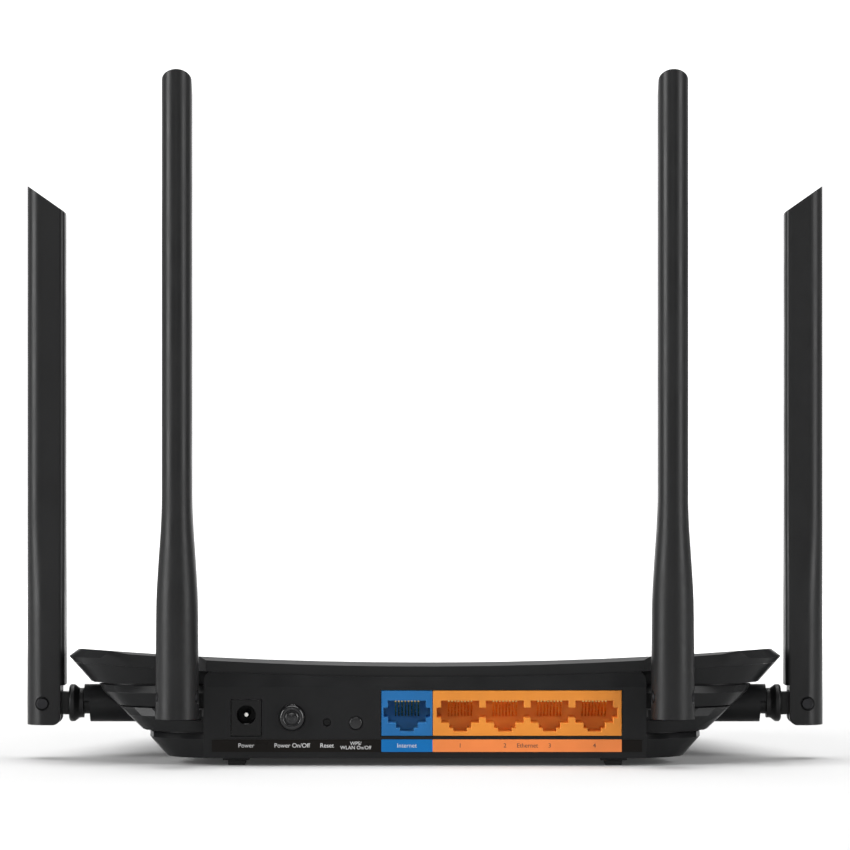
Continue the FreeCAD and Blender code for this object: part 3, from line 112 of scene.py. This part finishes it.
def plastic(name, colour, rough, layers, vary=0.06, specular=0.5):
    """Moulded plastic: fine grain, uneven gloss and a faint drift of colour."""
    material, tree, shader = new_material(name)
    shader.inputs["Specular IOR Level"].default_value = specular
    tree.links.new(spread(tree, noise(tree, 90.0), rough - vary, rough + vary), shader.inputs["Roughness"])
    drift = tint(tree, noise(tree, 45.0), shade(colour, 0.88), shade(colour, 1.12))
    tree.links.new(drift, shader.inputs["Base Color"])
    grain(tree, shader, layers)
    return material


def metal(name, colour, rough, stretch=(1.0, 1.0, 1.0), depth=0.004 * MM, scale=6000.0):
    """Metal with fine drawn or brushed lines along the axis that stretch squeezes."""
    material, tree, shader = new_material(name)
    shader.inputs["Metallic"].default_value = 1.0
    place = tree.nodes.new("ShaderNodeTexCoord")
    squeeze = tree.nodes.new("ShaderNodeMapping")
    squeeze.inputs["Scale"].default_value = stretch
    lines = add_node(tree, "ShaderNodeTexNoise", Scale=scale, Detail=2.0)
    tree.links.new(place.outputs["Object"], squeeze.inputs["Vector"])
    tree.links.new(squeeze.outputs["Vector"], lines.inputs["Vector"])
    bump = add_node(tree, "ShaderNodeBump", Strength=0.6, Distance=depth)
    tree.links.new(lines.outputs["Fac"], bump.inputs["Height"])
    tree.links.new(bump.outputs["Normal"], shader.inputs["Normal"])
    tree.links.new(
        spread(tree, lines.outputs["Fac"], rough * 0.8, rough * 1.25), shader.inputs["Roughness"])
    drift = tint(tree, noise(tree, 300.0), shade(colour, 0.9), shade(colour, 1.08))
    tree.links.new(drift, shader.inputs["Base Color"])
    return material


def circuit_mask(name):
    """Green solder mask with a net of copper tracks just showing through it."""
    material, tree, shader = new_material(name)
    place = tree.nodes.new("ShaderNodeTexCoord")
    cells = add_node(tree, "ShaderNodeTexVoronoi", Scale=260.0)
    cells.distance = "MANHATTAN"
    cells.feature = "DISTANCE_TO_EDGE"
    tree.links.new(place.outputs["Object"], cells.inputs["Vector"])
    line = add_node(tree, "ShaderNodeMapRange", From_Min=0.03, From_Max=0.07, To_Min=1.0, To_Max=0.0)
    tree.links.new(cells.outputs["Distance"], line.inputs["Value"])
    green = tint(tree, line.outputs["Result"], (0.008, 0.07, 0.03), (0.02, 0.16, 0.07))
    tree.links.new(green, shader.inputs["Base Color"])
    bump = add_node(tree, "ShaderNodeBump", Strength=0.5, Distance=0.03 * MM)
    tree.links.new(line.outputs["Result"], bump.inputs["Height"])
    tree.links.new(bump.outputs["Normal"], shader.inputs["Normal"])
    shader.inputs["Roughness"].default_value = 0.32
    return material


def clear_plastic(name):
    material, tree, shader = new_material(name)
    shader.inputs["Base Color"].default_value = (0.9, 0.95, 1.0, 1)
    shader.inputs["Transmission Weight"].default_value = 0.85
    shader.inputs["IOR"].default_value = 1.49
    tree.links.new(spread(tree, noise(tree, 900.0), 0.15, 0.3), shader.inputs["Roughness"])
    grain(tree, shader, [(1500.0, 0.01 * MM)])
    return material


FINE = [(5200.0, 0.006 * MM), (900.0, 0.006 * MM)]
SPARK = [(3600.0, 0.010 * MM), (700.0, 0.008 * MM)]
SMOOTH = [(250.0, 0.004 * MM)]
BLACK = (0.0062, 0.0064, 0.0068)

MATERIALS = {
    "case": plastic("case_black", BLACK, 0.38, FINE, 0.05, specular=0.2),
    "lid": plastic("lid_black", BLACK, 0.34, FINE, 0.05, specular=0.25),
    "gloss": plastic("inlay_gloss", (0.004, 0.004, 0.005), 0.09, SMOOTH, 0.02, specular=0.4),
    "blade": plastic("antenna_black", (0.0062, 0.0063, 0.0066), 0.40, SPARK, 0.05, specular=0.28),
    "knuckle": plastic("knuckle_black", (0.0058, 0.0059, 0.0061), 0.38, SPARK, 0.05, specular=0.28),
    "blue": plastic("wan_blue", (0.006, 0.105, 0.29), 0.38, FINE, 0.05, specular=0.3),
    "orange": plastic("lan_orange", (0.60, 0.205, 0.024), 0.38, FINE, 0.05, specular=0.3),
    # Paler copies of the jack colours for the socket walls: painted light inside the sockets.
    "blue_painted_light": plastic("wan_blue_painted_light", (0.07, 0.30, 0.62), 0.5, FINE, 0.05, specular=0.3),
    "orange_painted_light": plastic("lan_orange_painted_light", (0.90, 0.36, 0.06), 0.5, FINE, 0.05, specular=0.3),
    "dark": plastic("socket_black", (0.006, 0.006, 0.006), 0.42, FINE, 0.05, specular=0.2),
    "button": plastic("button_gloss", (0.006, 0.006, 0.0065), 0.24, SMOOTH, 0.03, specular=0.45),
    "grey": plastic("switch_grey", (0.12, 0.12, 0.125), 0.45, FINE, 0.05),
    "epoxy": plastic("chip_epoxy", (0.018, 0.018, 0.019), 0.5, SPARK, 0.06),
    "ferrite": plastic("ferrite", (0.05, 0.05, 0.052), 0.62, SPARK, 0.08),
    "rubber": plastic("foot_rubber", (0.014, 0.014, 0.014), 0.72, SPARK, 0.07, specular=0.3),
    "sheath": plastic("lead_sheath", (0.03, 0.03, 0.03), 0.5, SMOOTH, 0.04),
    "white": plastic("led_white", (0.75, 0.78, 0.7), 0.4, SMOOTH, 0.04),
    "strip": plastic("label_strip", (0.006, 0.005, 0.0042), 0.30, SMOOTH, 0.03, specular=0.1),
    "strip_blue": plastic("label_blue", (0.0008, 0.115, 0.34), 0.34, SMOOTH, 0.03, specular=0.2),
    "strip_orange": plastic("label_orange", (0.66, 0.19, 0.05), 0.34, SMOOTH, 0.03, specular=0.2),
    "ink_pale": plastic("ink_pale", (0.52, 0.52, 0.52), 0.5, SMOOTH, 0.03),
    "ink_dark": plastic("ink_dark", (0.012, 0.012, 0.014), 0.5, SMOOTH, 0.03),
    "gold": metal("contact_gold", (0.86, 0.60, 0.20), 0.24, (1.0, 0.05, 1.0)),
    "nickel": metal("pin_nickel", (0.78, 0.77, 0.74), 0.2, (1.0, 0.05, 1.0)),
    "steel": metal("steel", (0.56, 0.57, 0.58), 0.32, (1.0, 1.0, 0.1)),
    "black_steel": metal("black_steel", (0.035, 0.035, 0.037), 0.38, (1.0, 1.0, 0.1)),
    "tin": metal("tinned_steel", (0.68, 0.68, 0.67), 0.28, (0.05, 1.0, 1.0)),
    "aluminium": metal("aluminium", (0.74, 0.75, 0.77), 0.3, (1.0, 0.04, 1.0)),
    "brass": metal("brass", (0.78, 0.56, 0.24), 0.3, (1.0, 1.0, 0.05)),
    "mask": circuit_mask("solder_mask"),
    "clear": clear_plastic("light_guide_clear"),
}

NODE_LOOKS = {
    "lower_case": "case", "top_cover": "lid", "inlay_panel": "gloss", "circuit_board": "mask",
    "wan_jack": "blue", "lan_jacks": "orange", "wan_contacts": "gold", "lan_contacts": "gold",
    "dc_jack": "dark", "dc_centre_pin": "nickel", "dc_spring_contact": "tin",
    "power_switch": "grey", "wps_switch": "grey", "reset_switch": "grey",
    "power_button": "button", "wps_button": "button", "reset_plunger": "dark",
    "port_label": "strip", "rubber_feet": "rubber", "case_screws": "black_steel", "board_screws": "steel",
    "light_guide": "clear", "status_leds": "white", "processor": "epoxy", "ethernet_switch_chip": "epoxy",
    "memory_chip": "epoxy", "flash_chip": "epoxy", "radio_chips": "epoxy", "heat_sink": "aluminium",
    "shield_cans": "tin", "lan_transformers": "epoxy", "capacitors": "aluminium",
    "power_inductors": "ferrite", "crystal": "tin", "coax_sockets": "gold", "coax_leads": "sheath",
}
ANTENNA_LOOKS = {
    "knuckle": "knuckle", "blade": "blade", "hinge_pin": "black_steel",
    "radiator": "brass", "lead": "sheath", "retainer": "steel",
}
for antenna in ANTENNAS:
    for part, look in ANTENNA_LOOKS.items():
        NODE_LOOKS[antenna + "_" + part] = look


def dress(obj, look):
    obj.data.materials.clear()
    obj.data.materials.append(MATERIALS[look])


for node, look in NODE_LOOKS.items():
    for place in frame["nodes"][node].material_slots:
        place.material = MATERIALS[look]


# --------------------------------------------------------------- moulded pieces

SHARP = math.radians(28)  # edges that turn more than this get rounded
BEVEL_STEPS = 2
WELD = 0.002 * MM
FLAT = math.radians(0.4)
TIP_DROP = 8.6 * MM  # how far the blade's slanted top falls across its width
TIP_ROUND = 1.8 * MM
TIP_FACETS = 4
TIP_SPARE = 2 * MM
OUTWARD = {
    "side_right": Vector((1, 0, 0)), "side_left": Vector((-1, 0, 0)),
    "rear_right": Vector((0, 1, 0)), "rear_left": Vector((0, 1, 0)),
}


def add_piece(name, mesh, body, look):
    piece = bpy.data.objects.new(name, mesh)
    bpy.context.scene.collection.objects.link(piece)
    dress(piece, look)
    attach(piece, body)
    return piece


def trim(shape, point, normal):
    """Cut away what lies beyond a plane and close the cut."""
    everything = shape.verts[:] + shape.edges[:] + shape.faces[:]
    cut = bmesh.ops.bisect_plane(
        shape, geom=everything, dist=WELD / 2, plane_co=point, plane_no=normal, clear_outer=True)
    rim = [item for item in cut["geom_cut"] if isinstance(item, bmesh.types.BMEdge)]
    bmesh.ops.contextual_create(shape, geom=rim)


def tilted(outward, turn):
    """Unit vector that leans from straight up towards the blade's inner side."""
    return Vector((0, 0, 1)) * math.cos(turn) - outward * math.sin(turn)


def slant_tip(shape, outward, low, high):
    """One straight slant from the blade's outer face, with a round inner end."""
    width = abs((high - low).dot(outward))
    slope = math.atan2(TIP_DROP, width)
    for vert in shape.verts:
        if vert.co.z > high.z - TIP_DROP - TIP_SPARE:
            vert.co.z = high.z + TIP_SPARE
    middle = (low + high) / 2
    outer = middle + outward * width / 2
    outer.z = high.z
    slant = tilted(outward, slope)
    trim(shape, outer, slant)
    inner = middle - outward * (width / 2 - TIP_ROUND)
    inner.z = outer.z - TIP_ROUND / slant.z - (outer - inner).dot(outward) * math.tan(slope)
    for step in range(1, TIP_FACETS):
        normal = tilted(outward, slope + (math.pi / 2 - slope) * step / TIP_FACETS)
        trim(shape, inner + normal * TIP_ROUND, normal)


def rounded(node, width, outward=None):
    """Copy of a CAD node with real rounded edges; it stands for the node."""
    mesh = frame["nodes"][node].data.copy()
    shape = bmesh.new()
    shape.from_mesh(mesh)
    bmesh.ops.remove_doubles(shape, verts=shape.verts, dist=WELD)
    if outward:
        low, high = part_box(node)
        slant_tip(shape, outward, Vector(low), Vector(high))
    bmesh.ops.dissolve_limit(
        shape, angle_limit=FLAT, verts=shape.verts, edges=shape.edges, delimit={"NORMAL"})
    for face in shape.faces:
        face.smooth = True
    for edge in shape.edges:
        edge.smooth = edge.calc_face_angle(0.0) < SHARP
    shape.to_mesh(mesh)
    shape.free()
    custom = mesh.attributes.get("custom_normal")
    if custom:
        mesh.attributes.remove(custom)
    piece = add_piece(node + "_rounded", mesh, BODY_OF[node], NODE_LOOKS[node])
    edge = piece.modifiers.new("round_edges", "BEVEL")
    edge.width = width
    edge.segments = BEVEL_STEPS
    edge.limit_method = "ANGLE"
    edge.angle_limit = SHARP
    edge.harden_normals = True
    edge.use_clamp_overlap = True
    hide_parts(node)
    return piece


for node, width in (("lower_case", 0.30), ("top_cover", 0.40)):
    rounded(node, width * MM)
for antenna in ANTENNAS:
    rounded(antenna + "_blade", 0.35 * MM, outward=OUTWARD[antenna])
    rounded(antenna + "_knuckle", 0.2 * MM)
for node, width in (
    ("wan_jack", 0.12), ("lan_jacks", 0.12), ("dc_jack", 0.15), ("inlay_panel", 0.12), ("rubber_feet", 0.3),
):
    rounded(node, width * MM)


# Depth behind the jack face where the painted light on the socket walls begins.
PAINTED_LIGHT_FROM = 0.4 * MM


def paint_socket_light(node, look):
    """Painted light: a paler copy of the jack colour on the socket walls behind the face, as if lit deep
    into the sockets.
    """
    piece = bpy.data.objects[node + "_rounded"]
    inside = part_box(node)[1][1] - PAINTED_LIGHT_FROM
    piece.data.materials.append(MATERIALS[look])
    for side in piece.data.polygons:
        if side.center.y < inside:
            side.material_index = 1


# Painted light: the socket walls get paler jack colours, as if lit deep inside.
paint_socket_light("wan_jack", "blue_painted_light")
paint_socket_light("lan_jacks", "orange_painted_light")


# ---------------------------------------------------------------- turned buttons

AROUND = 96
SOFT_TURN = math.radians(35)
RIM_STEPS = 8
HUB = 0.04  # share of the radius that the flat centre takes
STEM = 1.2 * MM
GROOVE = 2.15 * MM
GROOVE_DEEP = 0.55 * MM


def rear_centre(node):
    """Middle of a node across and up, and the place of its rear face."""
    low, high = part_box(node)
    return (low[0] + high[0]) / 2, high[1], (low[2] + high[2]) / 2


def turned(node, profile, look):
    """Lathe-turned cap that stands for a node; profile is (radius, depth behind the face)."""
    x, face_y, z = rear_centre(node)
    shape = bmesh.new()
    rings = []
    for radius, depth in profile:
        ring = []
        for n in range(AROUND):
            turn = 2 * math.pi * n / AROUND
            place = (x + radius * math.cos(turn), face_y - depth, z + radius * math.sin(turn))
            ring.append(shape.verts.new(place))
        rings.append(ring)
    for inner, outer in zip(rings, rings[1:]):
        for n in range(AROUND):
            after = (n + 1) % AROUND
            shape.faces.new((inner[n], inner[after], outer[after], outer[n]))
    shape.faces.new(rings[0])
    shape.faces.new(rings[-1])
    bmesh.ops.recalc_face_normals(shape, faces=shape.faces)
    for face in shape.faces:
        face.smooth = len(face.verts) == 4
    for edge in shape.edges:
        edge.smooth = edge.calc_face_angle(0.0) < SOFT_TURN
    mesh = bpy.data.meshes.new(node)
    shape.to_mesh(mesh)
    shape.free()
    piece = add_piece(node + "_turned", mesh, BODY_OF[node], look)
    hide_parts(node)


def dished_face(hub):
    """Outline of a sunk centre, the groove round it and the inner flank of the ring."""
    return [
        (hub, GROOVE_DEEP * 0.35),
        (GROOVE * 0.7, GROOVE_DEEP * 0.45),
        (GROOVE - 0.22 * MM, GROOVE_DEEP * 0.7),
        (GROOVE - 0.05 * MM, GROOVE_DEEP),
        (GROOVE + 0.12 * MM, GROOVE_DEEP),
        (GROOVE + 0.3 * MM, GROOVE_DEEP * 0.5),
        (GROOVE + 0.5 * MM, GROOVE_DEEP * 0.12),
    ]


def cap_profile(node, round_over, cap_long, dished):
    """Half outline of a button: face, round rim, skirt and stem."""
    low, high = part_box(node)
    full = (high[0] - low[0]) / 2
    hub = full * HUB
    points = dished_face(hub) if dished else [(hub, 0.0)]
    for step in range(RIM_STEPS + 1):
        turn = math.pi / 2 * step / RIM_STEPS
        points.append((
            full - round_over + round_over * math.sin(turn), round_over - round_over * math.cos(turn)))
    points += [(full, cap_long), (STEM, cap_long), (STEM, high[1] - low[1])]
    return points


turned("power_button", cap_profile("power_button", 1.1 * MM, 5.0 * MM, True), "button")
turned("wps_button", cap_profile("wps_button", 0.45 * MM, 3.6 * MM, False), "button")


def mesh_of(curve):
    """Mesh of a curve or text, read through an object that doesn't stay."""
    holder = bpy.data.objects.new(curve.name, curve)
    bpy.context.scene.collection.objects.link(holder)
    bpy.context.view_layer.update()
    mesh = bpy.data.meshes.new_from_object(holder.evaluated_get(bpy.context.evaluated_depsgraph_get()))
    bpy.data.objects.remove(holder)
    return mesh


MARK_SIZE = 1.05 * MM
MARK_THICK = 0.24 * MM
MARK_SUNK = 0.22 * MM
MARK_GAP = math.radians(38)
MARK_STEPS = 40


def power_mark(node):
    """Raised standby mark: an open ring with a bar through its gap."""
    x, face_y, z = rear_centre(node)
    y = face_y - MARK_SUNK
    curve = bpy.data.curves.new(node + "_mark_curve", "CURVE")
    curve.dimensions = "3D"
    curve.bevel_depth = MARK_THICK / 2
    curve.bevel_resolution = 3
    curve.use_fill_caps = True
    arc = curve.splines.new("POLY")
    arc.points.add(MARK_STEPS)
    for n in range(MARK_STEPS + 1):
        turn = MARK_GAP + (2 * math.pi - 2 * MARK_GAP) * n / MARK_STEPS
        arc.points[n].co = (x + MARK_SIZE * math.sin(turn), y, z + MARK_SIZE * math.cos(turn), 1)
    bar = curve.splines.new("POLY")
    bar.points.add(1)
    bar.points[0].co = (x, y, z + MARK_SIZE * 1.1, 1)
    bar.points[1].co = (x, y, z + MARK_SIZE * 0.1, 1)
    add_piece(node + "_mark", mesh_of(curve), BODY_OF[node], "button")


power_mark("power_button")


# ------------------------------------------------------------- rear panel print

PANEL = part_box("port_label")
PRINT_Y = PANEL[1][1]
STRIP_LOW = PANEL[0][2]
STRIP_HIGH = PANEL[1][2]
STRIP_MIDDLE = (STRIP_LOW + STRIP_HIGH) / 2
REAR_FACING = Matrix.Rotation(math.pi, 4, "Z") @ Matrix.Rotation(math.pi / 2, 4, "X")
CLIPPED = 0.15 * MM
FIELD_LIFT = 0.03 * MM
INK_THICK = 0.01 * MM
ON_STRIP = 0.01 * MM
ON_FIELD = 0.045 * MM
WORD = 1.9 * MM
SMALL_WORD = WORD * 0.82
JACK_PITCH = 13.97 * MM


def flat_patch(name, left, right, look):
    """Thin printed field on the label strip, with clipped corners."""
    outline = [
        (left + CLIPPED, STRIP_LOW), (right - CLIPPED, STRIP_LOW), (right, STRIP_LOW + CLIPPED),
        (right, STRIP_HIGH - CLIPPED), (right - CLIPPED, STRIP_HIGH), (left + CLIPPED, STRIP_HIGH),
        (left, STRIP_HIGH - CLIPPED), (left, STRIP_LOW + CLIPPED)]
    shape = bmesh.new()
    back = [shape.verts.new((x, PRINT_Y, z)) for x, z in outline]
    face = shape.faces.new(back)
    raised = bmesh.ops.extrude_face_region(shape, geom=[face])["geom"]
    for vert in (item for item in raised if isinstance(item, bmesh.types.BMVert)):
        vert.co.y += FIELD_LIFT
    bmesh.ops.recalc_face_normals(shape, faces=shape.faces)
    mesh = bpy.data.meshes.new(name)
    shape.to_mesh(mesh)
    shape.free()
    add_piece(name, mesh, "router", look)


def lettering(name, words, x, height, look, lift):
    """Generic function word on the label strip, readable from behind the router."""
    curve = bpy.data.curves.new(name + "_text", "FONT")
    curve.body = words
    curve.size = height
    curve.align_x = "CENTER"
    curve.align_y = "CENTER"
    curve.space_line = 0.85
    curve.extrude = INK_THICK
    mesh = mesh_of(curve)
    mesh.transform(Matrix.Translation((x, PRINT_Y + lift, STRIP_MIDDLE)) @ REAR_FACING)
    add_piece(name, mesh, "router", look)


WAN_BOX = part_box("wan_jack")
LAN_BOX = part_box("lan_jacks")
FIELD_JOIN = (WAN_BOX[0][0] + LAN_BOX[1][0]) / 2
flat_patch("label_field_blue", FIELD_JOIN, WAN_BOX[1][0], "strip_blue")
flat_patch("label_field_orange", LAN_BOX[0][0], FIELD_JOIN, "strip_orange")

for words, node, name in (
    ("Power", "dc_jack", "power"),
    ("Power On/Off", "power_button", "power_switch"),
    ("Reset", "reset_switch", "reset"),
):
    lettering("word_" + name, words, rear_centre(node)[0], WORD, "ink_pale", ON_STRIP)
wps_words = "WPS/\nWLAN On/Off"
lettering("word_wps", wps_words, rear_centre("wps_button")[0], SMALL_WORD, "ink_pale", ON_STRIP)
lettering("word_internet", "Internet", rear_centre("wan_jack")[0], WORD, "ink_pale", ON_FIELD)
LAN_MIDDLE = rear_centre("lan_jacks")[0]
for number in range(4):
    x = LAN_MIDDLE + (1.5 - number) * JACK_PITCH
    lettering("word_port_%d" % (number + 1), str(number + 1), x, WORD, "ink_dark", ON_FIELD)
lettering("word_ethernet", "Ethernet", LAN_MIDDLE, WORD, "ink_dark", ON_FIELD)


# --------------------------------------------------------------- stage and light

PAPER_GREY = (0.55, 0.55, 0.55, 1)
GLOW_NEAR = (-0.3, 0.03)  # where along Y the paper starts to glow, and how much there
GLOW_FAR = (-0.9, 1.0)
FLOOR_HALF = 7.0
FLOOR_REAR = 5.0
FLOOR_FRONT = -5.0
BACKDROP_TOP = 4.5
BEND = 1.0
BEND_STEPS = 12
AMBIENT = 0.2


def stage_paper():
    """Pale grey paper under the router that glows white away at the front."""
    material, tree, shader = new_material("stage_paper")
    shader.inputs["Base Color"].default_value = PAPER_GREY
    shader.inputs["Roughness"].default_value = 0.9
    shader.inputs["Specular IOR Level"].default_value = 0.1
    shader.inputs["Emission Color"].default_value = (1, 1, 1, 1)
    place = tree.nodes.new("ShaderNodeTexCoord")
    split = tree.nodes.new("ShaderNodeSeparateXYZ")
    glow = add_node(
        tree, "ShaderNodeMapRange",
        From_Min=GLOW_NEAR[0], From_Max=GLOW_FAR[0], To_Min=GLOW_NEAR[1], To_Max=GLOW_FAR[1])
    tree.links.new(place.outputs["Object"], split.inputs["Vector"])
    tree.links.new(split.outputs["Y"], glow.inputs["Value"])
    tree.links.new(glow.outputs["Result"], shader.inputs["Emission Strength"])
    return material


def sweep():
    """Pale floor that curves up into a glowing backdrop far in front of the router."""
    profile = [(FLOOR_REAR, 0.0), (FLOOR_FRONT, 0.0)]
    for step in range(1, BEND_STEPS + 1):
        turn = math.pi / 2 * step / BEND_STEPS
        profile.append((FLOOR_FRONT - BEND * math.sin(turn), BEND - BEND * math.cos(turn)))
    profile.append((FLOOR_FRONT - BEND, BACKDROP_TOP))
    shape = bmesh.new()
    left = [shape.verts.new((-FLOOR_HALF, y, z)) for y, z in profile]
    right = [shape.verts.new((FLOOR_HALF, y, z)) for y, z in profile]
    for n in range(len(profile) - 1):
        face = shape.faces.new((left[n], right[n], right[n + 1], left[n + 1]))
        face.smooth = True
    mesh = bpy.data.meshes.new("floor")
    shape.to_mesh(mesh)
    shape.free()
    floor = bpy.data.objects.new("floor", mesh)
    bpy.context.scene.collection.objects.link(floor)
    floor.data.materials.append(stage_paper())


# Name, place, aim, width, height and power of each soft light.
SOFTBOXES = (
    ("key_top", (0.0, -0.30, 1.6), (0, -0.05, 0), 1.8, 1.5, 40),
    ("strip_left", (1.55, 0.75, 0.45), (0, 0.05, 0.1), 0.65, 1.3, 34),
    ("strip_right", (-1.35, 0.95, 0.45), (0, 0.05, 0.1), 0.55, 1.3, 21),
    ("fill_rear", (0.15, 1.6, 0.50), (0, 0.07, 0.02), 0.5, 0.25, 1.8),
)


def softbox(name, place, aim, wide, high, power):
    light = bpy.data.lights.new(name, "AREA")
    light.shape = "RECTANGLE"
    light.size = wide
    light.size_y = high
    light.energy = power
    obj = bpy.data.objects.new(name, light)
    obj.location = place
    obj.rotation_euler = (Vector(aim) - Vector(place)).to_track_quat("-Z", "Y").to_euler()
    obj.visible_camera = False
    bpy.context.scene.collection.objects.link(obj)


sweep()
for setup in SOFTBOXES:
    softbox(*setup)

world = bpy.data.worlds.new("studio")
world.use_nodes = True
world.node_tree.nodes["Background"].inputs["Color"].default_value = (1, 1, 1, 1)
world.node_tree.nodes["Background"].inputs["Strength"].default_value = AMBIENT
bpy.context.scene.world = world
bpy.context.scene.view_settings.view_transform = "Standard"

# Level long lens straight behind the sockets.
EYE_DISTANCE = 1.5
EYE_HEIGHT = 0.1064
LENS = 203.6
SENSOR = 36.0
camera = bpy.data.cameras.new("camera")
camera.lens = LENS
camera.sensor_width = SENSOR
eye = bpy.data.objects.new("camera", camera)
eye.location = (0.0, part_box("lower_case")[1][1] + EYE_DISTANCE, EYE_HEIGHT)
eye.rotation_euler = (math.pi / 2, 0.0, math.pi)
bpy.context.scene.collection.objects.link(eye)
bpy.context.scene.camera = eye
